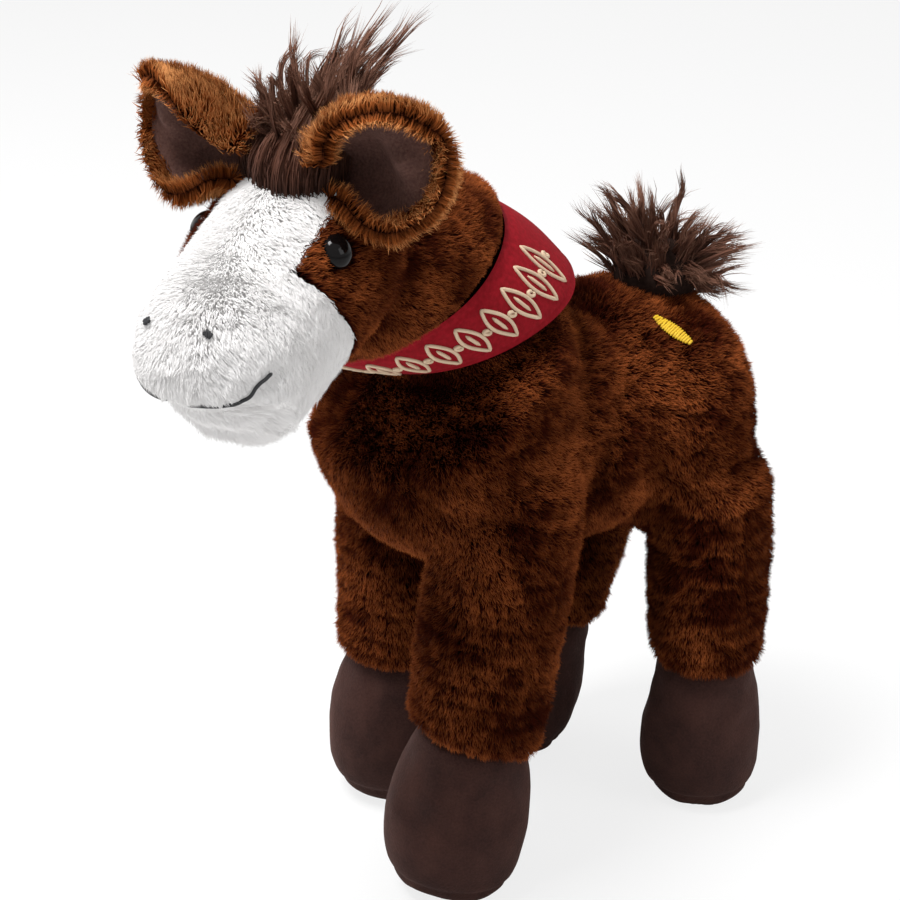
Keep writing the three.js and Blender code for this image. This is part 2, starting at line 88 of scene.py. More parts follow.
# A hoof: shares of its height down from the cuff, and of its radius
HOOF_ROWS = [(0, 0.8), (0.12, 0.86), (0.35, 0.97), (0.6, 1), (0.8, 0.93), (0.93, 0.74), (1, 0.5)]

# Neck and head
NECK_POINT = np.array([0.0, -52.0, 217.0])
NECK_TILT = 34
NECK_RADIUS = 35.5
NECK_LENGTH = 38
HEAD_TURN = 28
HEAD_PITCH = 6.5
SKULL_REACH = 67.5
SKULL_RISE = 25.3
NAPE_RADIUS = 36.5
NAPE_DROP = 2.5
NAPE_ROWS = [(-0.45, 0.86), (-0.2, 0.93), (0.1, 0.95), (0.4, 0.89), (0.7, 0.78), (1, 0.58)]
HEAD_LENGTH, HEAD_WIDTH, HEAD_HEIGHT = 102, 58, 58
SKULL_SHARE = 0.267

# The head: shares of its length, and of its half width, top and bottom there
HEAD_ROWS = [
    (0, 0, 0.1, -0.1), (0.04, 0.5, 0.55, 0.45), (0.13, 0.84, 0.85, 0.74), (0.25, 1, 1, 0.95),
    (0.37, 1, 1, 1.12), (0.48, 0.97, 0.92, 1.3), (0.58, 0.93, 0.79, 1.4), (0.68, 0.92, 0.66, 1.42),
    (0.77, 0.92, 0.57, 1.38), (0.86, 0.82, 0.46, 1.2), (0.94, 0.6, 0.22, 0.88),
    (0.98, 0.36, -0.04, 0.62), (1, 0, -0.28, 0.28),
]


def unit(vectors):
    """Vectors divided by their lengths."""
    vectors = np.asarray(vectors, float)
    return vectors / np.maximum(np.linalg.norm(vectors, axis=-1, keepdims=True), 1e-9)


def axes(origin, along, towards):
    """A frame with its z along one direction and its x as near as can be to another."""
    z = unit(along)
    y = unit(np.cross(z, towards))
    return np.column_stack([np.cross(y, z), y, z]), np.asarray(origin, float)


def wave(angle):
    """The sine and cosine of an angle in degrees."""
    return math.sin(math.radians(angle)), math.cos(math.radians(angle))


def out_of(points, place):
    """Points of a local frame, in the working frame."""
    turn, origin = place
    return points @ turn.T + origin


def into(points, place):
    """Points of the working frame, in a local frame."""
    turn, origin = place
    return (points - origin) @ turn


tilt_sin, tilt_cos = wave(NECK_TILT)
NECK_AXES = axes(NECK_POINT, (0, -tilt_sin, tilt_cos), (0, 1, 0))
turn_sin, turn_cos = wave(HEAD_TURN)
BEARING = np.array([turn_sin, -turn_cos, 0])
SKULL_POINT = NECK_POINT + SKULL_REACH * BEARING + np.array([0, 0, SKULL_RISE])
pitch_sin, pitch_cos = wave(HEAD_PITCH)
HEAD_AXES = axes(SKULL_POINT, BEARING * pitch_cos - np.array([0, 0, pitch_sin]), (0, 0, 1))
NAPE_LINE = SKULL_POINT - NECK_POINT
NAPE_AXES = axes(NECK_POINT - [0, 0, NAPE_DROP], NAPE_LINE, (0, 0, 1))

# The head's own directions: towards the nose, the crown and the left cheek
AHEAD, UP, LEFT = HEAD_AXES[0][:, 2], HEAD_AXES[0][:, 0], -HEAD_AXES[0][:, 1]


def head_place(forward, high, leftward):
    """A place in the head's own directions: towards the nose, the crown and the left cheek."""
    parts = np.broadcast_arrays(np.asarray(high, float), -np.asarray(leftward, float), forward)
    return out_of(np.stack(parts, -1), HEAD_AXES)


def head_parts(points):
    """How far points lie towards the nose, the crown and the left cheek."""
    local = into(points, HEAD_AXES)
    return local[..., 2], local[..., 0], -local[..., 1]


def smooth_rows(rows, count):
    """Rows of a table at even steps of its first column, on a smooth curve through them."""
    rows = np.asarray(rows, float)
    at = np.linspace(rows[0, 0], rows[-1, 0], count)
    k = np.clip(np.searchsorted(rows[:, 0], at, "right") - 1, 0, len(rows) - 2)
    gaps = np.diff(rows[:, 0])[:, None]
    steps = np.diff(rows[:, 1:], axis=0) / gaps
    slopes = np.vstack([steps[:1], (steps[1:] + steps[:-1]) / 2, steps[-1:]])
    share = ((at - rows[k, 0]) / gaps[k, 0])[:, None]
    gap = gaps[k]
    start, end = rows[k, 1:], rows[k + 1, 1:]
    curve = (
        (1 + 2 * share) * (1 - share) ** 2 * start + share * (1 - share) ** 2 * gap * slopes[k]
        + share**2 * (3 - 2 * share) * end + share**2 * (share - 1) * gap * slopes[k + 1]
    )
    return np.column_stack([at, curve])


def tube_faces(count, sides):
    """Triangles between rings of points, whose ends close to the two points that follow them."""
    k = np.arange(sides)
    after = (k + 1) % sides
    low = np.arange(count - 1)[:, None] * sides
    top = (count - 1) * sides
    lower = np.stack([low + k, low + after, low + sides + after], -1)
    upper = np.stack([low + k, low + sides + after, low + sides + k], -1)
    bottom_cap = np.stack([after, k, np.full(sides, count * sides)], -1)
    top_cap = np.stack([top + k, top + after, np.full(sides, count * sides + 1)], -1)
    return np.concatenate([lower.reshape(-1, 3), upper.reshape(-1, 3), bottom_cap, top_cap])


def loft(stations, sides):
    """A closed body of rings: x = x0 + a cos t, y = y0 + b sin t, z = z0.
    A station is (z0, x0, y0, a, b), and both ends are closed to their middles."""
    stations = np.asarray(stations, float)
    turn = np.linspace(0, 2 * np.pi, sides, endpoint=False)
    z, x0, y0, a, b = (stations[:, k, None] for k in range(5))
    rings = np.stack([x0 + a * np.cos(turn), y0 + b * np.sin(turn), z + 0 * turn], -1)
    places = np.vstack([rings.reshape(-1, 3), rings[0].mean(0), rings[-1].mean(0)])
    return places, tube_faces(len(stations), sides)


def column(along, half_x, half_y, sides=64):
    """A loft of ellipses about a straight line."""
    return loft(np.column_stack([along, 0 * along, 0 * along, half_x, half_y]), sides)


def set_in(place, shape):
    """A shape of points and faces, brought from a local frame into the working frame."""
    return out_of(shape[0], place), shape[1]


def swollen(half_length, half_x, half_y):
    """A rounded column: full in the middle, drawn in by (1 - |z|^n)^(1/n)."""
    along = -np.cos(np.pi * np.linspace(0.02, 0.98, 40))
    full = (1 - np.abs(along) ** SQUARENESS) ** (1 / SQUARENESS)
    return column(along * half_length, half_x * full, half_y * full)


def lobe(size):
    """One upright lobe of the trunk, leaning forward."""
    lean_sin, lean_cos = wave(size["lean"])
    middle = (size["low"] + size["high"]) / 2
    half = (size["high"] - size["low"]) / 2 - UNDER
    place = axes((0, size["along"], middle), (0, -lean_sin, lean_cos), (1, 0, 0))
    return set_in(place, swollen(half, size["width"] / 2 - UNDER, size["depth"] / 2 - UNDER))


def barrel():
    """The trunk's long middle, which lies along the back."""
    half, high, wide = (BARREL[key] / 2 - UNDER for key in ("length", "height", "width"))
    return set_in(axes((0, 0, BARREL["middle"]), (0, 1, 0), (0, 0, 1)), swollen(half, high, wide))


def leg_axes(name):
    """A leg's frame: its pivot, and z down along it."""
    leg = LEGS[name]
    rest_sin, rest_cos = wave(leg.rest)
    return axes((leg.side * LEG_SPREAD, leg.along, leg.height), (0, rest_sin, -rest_cos), (0, 1, 0))


def leg_length(name):
    """How far the sole's middle lies from the pivot."""
    leg = LEGS[name]
    return (leg.height + SOLE_PRESS) / wave(leg.rest)[1]


def cuff_at(name):
    """How far the cuff lies from the pivot."""
    return leg_length(name) - HOOF_HEIGHT


def leg_tube(name):
    """A domed tube down to the cuff, whose radius swells by the sine of its length."""
    radius, cuff = LEGS[name].radius, cuff_at(name)
    dome = np.linspace(0.02, 0.5, 12)[:-1] * np.pi
    share = np.linspace(0, 1, 26)
    width = radius * (1 + (CUFF_SHARE - 1) * share) * (1 + SWELL_SHARE * np.sin(np.pi * share))
    along = np.concatenate([-(radius - UNDER) * np.cos(dome), cuff * share])
    wide = np.concatenate([(radius - UNDER) * np.sin(dome), width - UNDER])
    places, faces = column(along, wide, wide, 48)
    low = np.clip(places[:, 2] / cuff, 0, 1) ** 3
    places[:, 2] += CUFF_SLANT.get(name, 0) * low * places[:, 0] / radius
    return set_in(leg_axes(name), (places, faces))


def head_body():
    """The head from its crown to its nose: ellipses through a smooth table of half sizes."""
    rows = smooth_rows(HEAD_ROWS, 90)[1:-1]
    top = rows[:, 2] * HEAD_HEIGHT / 2 - UNDER
    bottom = rows[:, 3] * HEAD_HEIGHT / 2 - UNDER
    reach = HEAD_LENGTH * np.where(rows[:, 0] < SKULL_SHARE, SKULL_SHARE, 1 - SKULL_SHARE)
    along = (rows[:, 0] - SKULL_SHARE) * HEAD_LENGTH * (1 - UNDER / reach)
    half_high = np.maximum((top + bottom) / 2, 0.4)
    half_wide = np.maximum(rows[:, 1] * HEAD_WIDTH / 2 - UNDER, 0.4)
    stations = np.column_stack([along, (top - bottom) / 2, 0 * along, half_high, half_wide])
    return set_in(HEAD_AXES, loft(stations, 72))


def nape():
    """The thick neck from inside the band into the skull."""
    rows = smooth_rows(NAPE_ROWS, 40)
    radius = NAPE_RADIUS * rows[:, 1] - UNDER
    return set_in(NAPE_AXES, column(rows[:, 0] * np.linalg.norm(NAPE_LINE), radius, radius))


def ring_axes(middle, tilt):
    """A ring's frame: z through it, x towards the nape."""
    tilt_sin, tilt_cos = wave(tilt)
    return axes(middle, (0, -tilt_sin, tilt_cos), (0, 1, 0))


# The cloth band: the frames of its lower and its upper ring, its radius and slack, how far it
# lies off the skins, and how far past its edges they have no pile
BAND_LOWER = ring_axes((0.0, -39.5, 201.2), 19.0)
BAND_UPPER = ring_axes((0.0, -64.6, 216.8), 31.0)
BAND_RADIUS, BAND_SLACK = 40.5, 0.5
BAND_EASE, BAND_LAP = 2.2, 0.8

# The skins' greatest radius in the band and its least distance from that, then how far past its
# edges the skins start to widen, how steeply, and how far out they are still held
BAND_GRIP, GRIP_CLEAR = 37.8, 1.6
GRIP_LAP, GRIP_SLOPE, GRIP_REACH = 0.5, 2.2, 14

# How short the pile is where the turning band passes, and over which distances it grows again
CROPPED_SHARE, CROP_GAP, CROP_FADE = 0.42, 1.5, 4

# Turns and nods, in degrees, at which the band passes the body, and those at which it passes the
# head
BAND_SWING = list(itertools.product((-30, -15, 15, 30, 0), (-8, 8, 0)))
HEAD_SWING = [(turn, 0) for turn in (-38, -24, -12, 12, 24, 38, 0)]


def band_parts(points):
    """Where points lie at the band: the distance in millimetres past its nearer edge, below 0
    inside it, then the offset from its middle line and that offset's length."""
    above, below = into(points, BAND_LOWER)[:, 2], -into(points, BAND_UPPER)[:, 2]
    total = above + below
    share = np.clip(above / np.where(np.abs(total) < 1e-6, 1e-6, total), 0, 1)[:, None]
    middle = (1 - share) * BAND_LOWER[1] + share * BAND_UPPER[1]
    through = unit((1 - share) * BAND_LOWER[0][:, 2] + share * BAND_UPPER[0][:, 2])
    offset = points - middle
    offset = offset - (offset * through).sum(1, keepdims=True) * through
    return -np.minimum(above, below), offset, np.linalg.norm(offset, axis=1)


def under_band(points):
    """True for points that the band covers."""
    return band_parts(points)[0] < BAND_LAP


def about_neck(turn, nod):
    """A rotation by a turn about the neck after a nod, both in degrees."""
    sine, cosine = wave(turn)
    twist = NECK_AXES[0] @ np.array([[cosine, -sine, 0], [sine, cosine, 0], [0, 0, 1]]) @ NECK_AXES[0].T
    sine, cosine = wave(nod)
    return twist @ np.array([[1, 0, 0], [0, cosine, -sine], [0, sine, cosine]])


def tightened(skin, swing):
    """A skin drawn in where the band grips it, and where it passes as it turns."""
    for turn, nod in swing:
        moved = about_neck(turn, nod)
        turned = (skin.places - NECK_POINT) @ moved.T + NECK_POINT
        past, offset, reach = band_parts(turned)
        most = BAND_GRIP + GRIP_SLOPE * np.maximum(past - GRIP_LAP, 0)
        pulled = np.where((past < GRIP_REACH) & (reach > most), most / np.maximum(reach, 1e-6), 1)
        skin.places = (turned + offset * (pulled - 1)[:, None] - NECK_POINT) @ moved + NECK_POINT
    skin.normals = skin.point_normals()
    return skin


def cropped(points, swing):
    """A share of the pile's length: short wherever the turning band passes."""
    near = points - NECK_POINT
    past = np.min([band_parts(near @ about_neck(*move).T + NECK_POINT)[0] for move in swing], axis=0)
    return CROPPED_SHARE + (1 - CROPPED_SHARE) * np.clip((past - CROP_GAP) / CROP_FADE, 0, 1)


def route(points, count=60):
    """Close points on a smooth curve through a few."""
    points = np.asarray(points, float)
    return smooth_rows(np.column_stack([np.arange(len(points)), points]), count)[:, 1:]


def distance_to(points, line):
    """Each point's distance to the nearest point of a line."""
    near = np.full(len(points), 1e9)
    for place in line:
        near = np.minimum(near, ((points - place) ** 2).sum(1))
    return np.sqrt(near)


def pressed(skin, line, depth, width):
    """A skin pressed in along a line: depth e^-(d / width)^2 against its normals."""
    near = distance_to(skin.places, line)
    skin.places = skin.places - skin.normals * (depth * np.exp(-((near / width) ** 2)))[:, None]
    skin.normals = skin.point_normals()
    return skin


class Skin:
    """A closed cloth surface as arrays: its points, in millimetres, and its square faces."""

    def __init__(self, places, quads):
        self.places, self.quads = places, quads
        self.normals = self.point_normals()

    def point_normals(self):
        """Each point's normal: the sum of its faces' diagonals' cross products."""
        a, b, c, d = (self.places[self.quads[:, k]] for k in range(4))
        across = np.cross(c - a, d - b)
        total = np.zeros_like(self.places)
        for k in range(4):
            for axis in range(3):
                total[:, axis] += np.bincount(self.quads[:, k], across[:, axis], len(self.places))
        return unit(total)

    def triangles(self):
        """Its faces, each split in two."""
        return np.vstack([self.quads[:, [0, 1, 2]], self.quads[:, [0, 2, 3]]])

    def tree(self):
        """A search tree of its faces."""
        return BVHTree.FromPolygons(self.places.tolist(), self.quads.tolist())


def placed(name, data):
    """A new object in the scene."""
    thing = bpy.data.objects.new(name, data)
    bpy.context.scene.collection.objects.link(thing)
    return thing


def mesh_object(name, places, faces, material=None):
    """A new object of points in the working frame."""
    mesh = bpy.data.meshes.new(name)
    mesh.from_pydata((np.asarray(places) + SHIFT) / 1000, [], np.asarray(faces))
    mesh.shade_smooth()
    if material:
        mesh.materials.append(material)
    return placed(name, mesh)


def skin_object(name, skin, material):
    """A new object of a skin."""
    return mesh_object(name, skin.places, skin.quads, material)


def arrays_of(mesh):
    """A mesh's points, in the working frame, and its square faces."""
    places = np.empty(len(mesh.vertices) * 3)
    mesh.vertices.foreach_get("co", places)
    corners = np.empty(len(mesh.loops), int)
    mesh.loops.foreach_get("vertex_index", corners)
    return places.reshape(-1, 3) * 1000 - SHIFT, corners.reshape(-1, 4)


def after_modifiers(thing):
    """A thing's points and square faces once its modifiers have worked on it."""
    mesh = bpy.data.meshes.new_from_object(thing.evaluated_get(bpy.context.evaluated_depsgraph_get()))
    shape = arrays_of(mesh)
    bpy.data.meshes.remove(mesh)
    return shape


def drop(thing):
    """Takes a draft and its mesh away."""
    mesh = thing.data
    bpy.data.objects.remove(thing)
    bpy.data.meshes.remove(mesh)


def joined(bodies):
    """Bodies as one set of points and one of faces."""
    starts = np.cumsum([0] + [len(places) for places, _ in bodies])
    faces = np.vstack([faces + start for (_, faces), start in zip(bodies, starts)])
    return np.vstack([places for places, _ in bodies]), faces


def one_skin(bodies, voxel, rounds):
    """Closed bodies joined into one soft skin: a voxel remesh, then smoothing."""
    thing = mesh_object("draft", *joined(bodies))
    remesh = thing.modifiers.new("remesh", "REMESH")
    remesh.mode = "VOXEL"
    remesh.voxel_size = voxel / 1000
    smooth = thing.modifiers.new("smooth", "SMOOTH")
    smooth.factor = 0.5
    smooth.iterations = rounds
    skin = Skin(*after_modifiers(thing))
    drop(thing)
    return skin


def part_of(skin, chosen):
    """The chosen faces of a skin, as a skin of their own."""
    used, again = np.unique(skin.quads[chosen], return_inverse=True)
    piece = Skin.__new__(Skin)
    piece.places, piece.normals = skin.places[used], skin.normals[used]
    piece.quads = again.reshape(-1, 4)
    return piece


def declared(nodes=()):
    """Hides the plain nodes that a piece stands for."""
    if nodes:
        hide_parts(*nodes)


def riding(thing, body, nodes=()):
    """A piece that moves with one body."""
    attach(thing, body)
    declared(nodes)


# Pile: strands as narrow blades that stand on a skin
STRANDS_PER_MM2 = 4.0
STRAND_WIDTH = 0.42
BAKE_MAP = "OFBake"
MAP_MARGIN = 0.02
ROOT_DEPTH = 0.4


def lattice(cells, seed):
    """A value from 0 to 1 for each whole place: its three numbers multiplied by primes and mixed."""
    mixed = cells[..., 0] * 73856093 ^ cells[..., 1] * 19349663 ^ cells[..., 2] * 83492791
    mixed = (mixed + seed * 7919) * 2654435761 & 0xFFFFFFFF
    mixed = (mixed ^ mixed >> 15) * 2246822519 & 0xFFFFFFFF
    return (mixed ^ mixed >> 13) % 65536 / 65535


def cloud(points, size, seed):
    """Smooth noise from 0 to 1: lattice values mixed with the weights t^2 (3 - 2t)."""
    at = points / size
    base = np.floor(at).astype(np.int64)
    share = at - base
    share = share * share * (3 - 2 * share)
    total = np.zeros(len(points))
    for corner in itertools.product((0, 1), repeat=3):
        weight = np.prod(np.where(corner, share, 1 - share), axis=1)
        total += weight * lattice(base + np.array(corner), seed)
    return total


SKEW = np.array([[0.8, 0.36, -0.48], [-0.6, 0.48, -0.64], [0.0, 0.8, 0.6]])


def clumps(points, size, seed):
    """Two clouds of different sizes on turned lattices, from 0 to 1."""
    return 0.65 * cloud(points @ SKEW, size, seed) + 0.35 * cloud(points @ SKEW.T, size / 2, seed + 9)


def slope(points, size, seed):
    """How the clumps rise along each axis: their difference over a small step."""
    step = size / 20
    here = clumps(points, size, seed)
    return here, np.stack([
        clumps(points + step * np.eye(3)[axis], size, seed) - here for axis in range(3)
    ], -1) / step


def scatter(skin, per_mm2, chance):
    """Random points spread evenly over a skin, with their normals."""
    corners = skin.triangles()
    a, b, c = (skin.places[corners[:, k]] for k in range(3))
    area = np.linalg.norm(np.cross(b - a, c - a), axis=1) / 2
    count = int(area.sum() * per_mm2)
    pick = np.searchsorted(np.cumsum(area), chance.random(count) * area.sum())
    pick = np.minimum(pick, len(corners) - 1)
    r, s = chance.random((2, count))
    over = r + s > 1
    r, s = np.where(over, 1 - r, r)[:, None], np.where(over, 1 - s, s)[:, None]
    shares = (1 - r - s, r, s)
    points = sum(k * skin.places[corners[pick, j]] for j, k in enumerate(shares))
    normals = unit(sum(k * skin.normals[corners[pick, j]] for j, k in enumerate(shares)))
    return points, normals


def tangent(vectors, normals):
    """Vectors laid down along the surface."""
    return vectors - normals * (vectors * normals).sum(1, keepdims=True)


def blades(name, spines, sides, widths, shade, material):
    """Narrow tapering blades: a left and a right point at each station of a spine, and one tip.
    The map's u is the strand's shade value, which holds its own tone and any painted light, and its
    v runs from root to tip."""
    count, stations = spines.shape[:2]
    half = sides * (widths[..., None] / 2)
    left, right = spines[:, :-1] - half[:, :-1], spines[:, :-1] + half[:, :-1]
    pairs = np.stack([left, right], 2).reshape(count, -1, 3)
    places = np.concatenate([pairs, spines[:, -1:]], 1)
    each = places.shape[1]
    row = np.arange(stations - 2)[:, None] * 2
    ladder = np.stack([row + [0, 1, 3], row + [0, 3, 2]], 1).reshape(-1, 3)
    pattern = np.vstack([ladder, [[each - 3, each - 2, each - 1]]])
    faces = (pattern + np.arange(count)[:, None, None] * each).reshape(-1, 3)
    thing = mesh_object(name, places.reshape(-1, 3), faces, material)
    along = np.concatenate([np.repeat(np.arange(stations - 1), 2), [stations - 1]]) / (stations - 1)
    across = np.concatenate([np.tile([0, 1], stations - 1), [0.5]])
    u = MAP_MARGIN + (1 - 3 * MAP_MARGIN) * shade[:, None] + MAP_MARGIN * across
    v = np.broadcast_to(MAP_MARGIN + (1 - 2 * MAP_MARGIN) * along, u.shape)
    corners = np.stack([u, v], -1).reshape(-1, 2)[faces.ravel()]
    layer = thing.data.uv_layers.new(name=BAKE_MAP)
    layer.uv.foreach_set("vector", corners.ravel().astype(np.float32))
    return thing


class Coat:
    """Strands of pile worked out for a whole skin, which are then shared out among its pieces.
    Each strand is bent once. Where the clumps rise it is longer and painted lighter, a painted
    highlight, and in their hollows it is painted darker, a painted shade; their slope pulls it over.
    Broad patches turn it, lay it down and paint lit and shaded patches of sheen on it."""

    def __init__(self, skin, seed, length, lean, comb, clump_size=5.0, density=1.0, tone=0.5,
                 stray=0.16, relief=None):
        chance = np.random.default_rng(seed)
        self.roots, normals = scatter(skin, STRANDS_PER_MM2 * density, chance)
        count = len(self.roots)
        height, rise = slope(self.roots, clump_size, seed)
        height = np.clip(height + (relief(self.roots) if relief else 0), 0, 1)
        pull = clump_size * 0.42 * tangent(rise, normals)
        broad = clumps(self.roots, 4 * clump_size, seed + 31)
        comb = unit(tangent(comb(self.roots), normals) + 0.02)
        comb = comb + 0.9 * (broad[:, None] - 0.5) * np.cross(normals, comb)
        reach = length(self.roots) if callable(length) else np.full(count, float(length))
        reach = (reach * (0.64 + 0.52 * height + 0.16 * chance.random(count)))[:, None]
        jitter = chance.normal(0, stray, (2, count, 3))
        lying = np.clip(lean * (0.45 + 1.1 * broad), 0, 0.95)[:, None]
        first = unit(normals * (1 - 0.45 * lying) + 0.5 * lying * comb + 0.4 * pull + jitter[0])
        last = unit(normals * (1 - lying) + lying * comb + pull + 1.3 * jitter[1])
        middle = self.roots + first * reach * 0.5
        self.spines = np.stack([self.roots - normals * ROOT_DEPTH, middle, middle + last * reach * 0.5], 1)
        flow = self.spines - self.roots[:, None] + 0.3 * first[:, None]
        self.sides = unit(np.cross(flow, normals[:, None]))
        broadness = STRAND_WIDTH * (0.8 + 0.4 * chance.random((count, 1)))
        self.widths = np.tile([1.0, 0.85, 0.0], (count, 1)) * broadness
        # Painted light: lighter on the clumps' tops and ripples and darker in their hollows, with broad
        # painted patches of sheen and shade; the random part is the strands' own tone
        shade = tone + 0.9 * (height - 0.5) + 1.8 * (broad - 0.5)
        self.shade = np.clip(shade + chance.normal(0, 0.1, count), 0, 1)

    def piece(self, name, chosen, material):
        """One object of the chosen strands."""
        strands = (self.spines[chosen], self.sides[chosen], self.widths[chosen], self.shade[chosen])
        return blades(name, *strands, material)


# Finishes
class Link:
    """A socket of a node tree. Sums written with it add Math nodes."""

    def __init__(self, nodes, socket):
        self.nodes, self.socket = nodes, socket

    def output(self, name):
        """Another output of the same node."""
        return Link(self.nodes, self.socket.node.outputs[name])

    def sum(self, operation, *values):
        return self.nodes.node("ShaderNodeMath", {"operation": operation}, dict(enumerate(values)))

    def __add__(self, other):
        return self.sum("ADD", self, other)

    def __radd__(self, other):
        return self.sum("ADD", other, self)

    def __sub__(self, other):
        return self.sum("SUBTRACT", self, other)

    def __rsub__(self, other):
        return self.sum("SUBTRACT", other, self)

    def __mul__(self, other):
        return self.sum("MULTIPLY", self, other)

    def __rmul__(self, other):
        return self.sum("MULTIPLY", other, self)


class Nodes:
    """A node tree being made: node() adds a node, and put() sets or links a node's sockets."""

    def __init__(self, tree):
        self.tree = tree

    def put(self, node, inputs):
        for key, value in inputs.items():
            socket = node.inputs[key]
            if isinstance(value, Link):
                self.tree.links.new(value.socket, socket)
            else:
                socket.default_value = value

    def node(self, kind, settings=None, inputs=None, output=0):
        """A node with its settings, such as a ramp's stops, and the values or links of its sockets."""
        node = self.tree.nodes.new(kind)
        for key, value in (settings or {}).items():
            if key == "stops":
                ramp = node.color_ramp.elements
                while len(ramp) < len(value):
                    ramp.new(1)
                for stop, (place, colour) in zip(ramp, value):
                    stop.position, stop.color = place, (*colour, 1)
            else:
                setattr(node, key, value)
        self.put(node, inputs or {})
        return Link(self, node.outputs[output])

    def noise(self, scale, detail):
        """Noise in the object's own coordinates, with cells of 1 / scale metres."""
        place = self.node("ShaderNodeTexCoord", output=3)
        return self.node("ShaderNodeTexNoise", inputs={"Vector": place, "Scale": scale, "Detail": detail})

    def ramp(self, factor, *stops):
        """A colour that runs through stops, each a place and a colour."""
        return self.node("ShaderNodeValToRGB", {"stops": stops}, {0: factor})

    def bump(self, height, strength, distance):
        """A bump of a strength, at most a distance in metres high."""
        inputs = {"Strength": strength, "Distance": distance, "Height": height}
        return self.node("ShaderNodeBump", inputs=inputs)


class Finish(Nodes):
    """A material being made, whose shader's sockets are set by name, with _ for a space."""

    def __init__(self, name, **values):
        self.material = bpy.data.materials.new(name)
        self.material.use_nodes = True
        super().__init__(self.material.node_tree)
        self.shader = self.tree.nodes["Principled BSDF"]
        self.set(**values)

    def set(self, **values):
        self.put(self.shader, {key.replace("_", " "): value for key, value in values.items()})


def shown(red, green, blue):
    """A colour as it looks on screen, from 0 to 255, as the light that it gives back."""
    return tuple(((c / 255 + 0.055) / 1.055) ** 2.4 if c > 10 else c / 3294 for c in (red, green, blue))


def pile_finish(name, roots, dark, light, **values):
    """Pile: from a root colour to a tip colour along the strand, darker or lighter with its shade value.
    The dark root colour is painted shade deep in the pile, and the light tip colour is painted light
    where the strands catch it.
    """
    finish = Finish(name, **values)
    place = finish.node("ShaderNodeUVMap", {"uv_map": BAKE_MAP})
    parts = finish.node("ShaderNodeSeparateXYZ", inputs={0: place})
    shade, along = parts.output("X"), parts.output("Y")
    # Painted shade at the roots of both ramps, and painted light at the tips of the lighter one
    darker = finish.ramp(along, (0.0, roots), (0.55, dark), (1, dark))
    lighter = finish.ramp(along, (0.0, roots), (0.5, dark), (1, light))
    inputs = {"Factor": shade, 6: darker, 7: lighter}
    finish.set(Base_Color=finish.node("ShaderNodeMix", {"data_type": "RGBA"}, inputs, output=2))
    return finish.material


def velour_finish(name, dark, light):
    """Velour: a close nap whose colour wanders a little, with a fine grain."""
    finish = Finish(name, Roughness=0.95, Specular_IOR_Level=0.2)
    finish.set(Sheen_Weight=0.18, Sheen_Roughness=0.4, Sheen_Tint=(*shown(130, 92, 80), 1))
    broad, grain = finish.noise(90.0, 3.0), finish.noise(1300.0, 2.0)
    colour = finish.ramp(0.55 * broad + 0.45 * grain, (0.3, dark), (0.7, light))
    finish.set(Base_Color=colour, Normal=finish.bump(grain, 0.5, 0.0005))
    return finish.material


def band_finish():
    """Crimson felt with a fine nap."""
    finish = Finish("red_cloth", Roughness=0.9, Specular_IOR_Level=0.15)
    nap = finish.noise(700.0, 3.0)
    colour = finish.ramp(nap, (0.3, shown(116, 8, 18)), (0.7, shown(138, 14, 27)))
    finish.set(Base_Color=colour, Normal=finish.bump(nap, 0.4, 0.0003))
    return finish.material


def under_finish(name, colour):
    """The knitted backing between the strands."""
    finish = Finish(name, Roughness=1.0, Specular_IOR_Level=0.0)
    darker = tuple(0.6 * c for c in colour)
    finish.set(Base_Color=finish.ramp(finish.noise(900.0, 2.0), (0.3, darker), (0.7, colour)))
    return finish.material


def thread_finish(name, colour):
    """Plain sewing thread."""
    return Finish(name, Base_Color=(*colour, 1), Roughness=0.6).material


# Pile colours: each root colour is painted shade deep in the pile, and each light tip colour is painted
# light on the strands' tips
CHESTNUT = pile_finish(
    "chestnut_pile", shown(14, 4, 2), shown(58, 17, 5), shown(184, 100, 50),
    Roughness=0.8, Specular_IOR_Level=0.04,
)
# The ears' pile is the chestnut pile made lighter and more orange: painted light where the ears are lit from
# above
PAINTED_LIT_CHESTNUT = pile_finish(
    "chestnut_ear_pile_painted_lit", shown(60, 24, 9), shown(142, 76, 34), shown(232, 166, 104),
    Roughness=0.8, Specular_IOR_Level=0.04,
)
# The white pile glows faintly: painted light that lifts the shade between its strands
WHITE_PAINTED_GLOW = pile_finish(
    "white_pile_painted_glow", shown(197, 195, 194), shown(205, 203, 202), shown(212, 210, 209),
    Roughness=0.8, Specular_IOR_Level=0.1, Emission_Color=(1, 1, 1, 1), Emission_Strength=0.16,
)
MANE = pile_finish(
    "mane_hair", shown(42, 24, 18), shown(94, 60, 47), shown(150, 112, 92),
    Roughness=0.7, Specular_IOR_Level=0.12,
)
VELOUR = velour_finish("brown_velour", shown(36, 19, 16), shown(64, 39, 33))
# The ear lining is the hooves' velour made lighter: painted light where the lining is lit
PAINTED_LIT_EAR_VELOUR = velour_finish("ear_velour_painted_lit", shown(56, 34, 29), shown(104, 74, 66))
BROWN_BACKING = under_finish("brown_backing", shown(28, 9, 3))
WHITE_BACKING = under_finish("white_backing", shown(226, 224, 223))
MANE_BACKING = under_finish("mane_backing", shown(44, 32, 28))
BAND_RED = band_finish()
CREAM_THREAD = thread_finish("cream_thread", shown(200, 174, 146))
BLACK_THREAD = thread_finish("black_thread", shown(14, 14, 18))
YELLOW_THREAD = thread_finish("yellow_thread", shown(206, 168, 20))
EYE_BLACK = Finish(
    "eye_black", Base_Color=(0.003, 0.002, 0.002, 1), Roughness=0.05, Specular_IOR_Level=0.13
).material

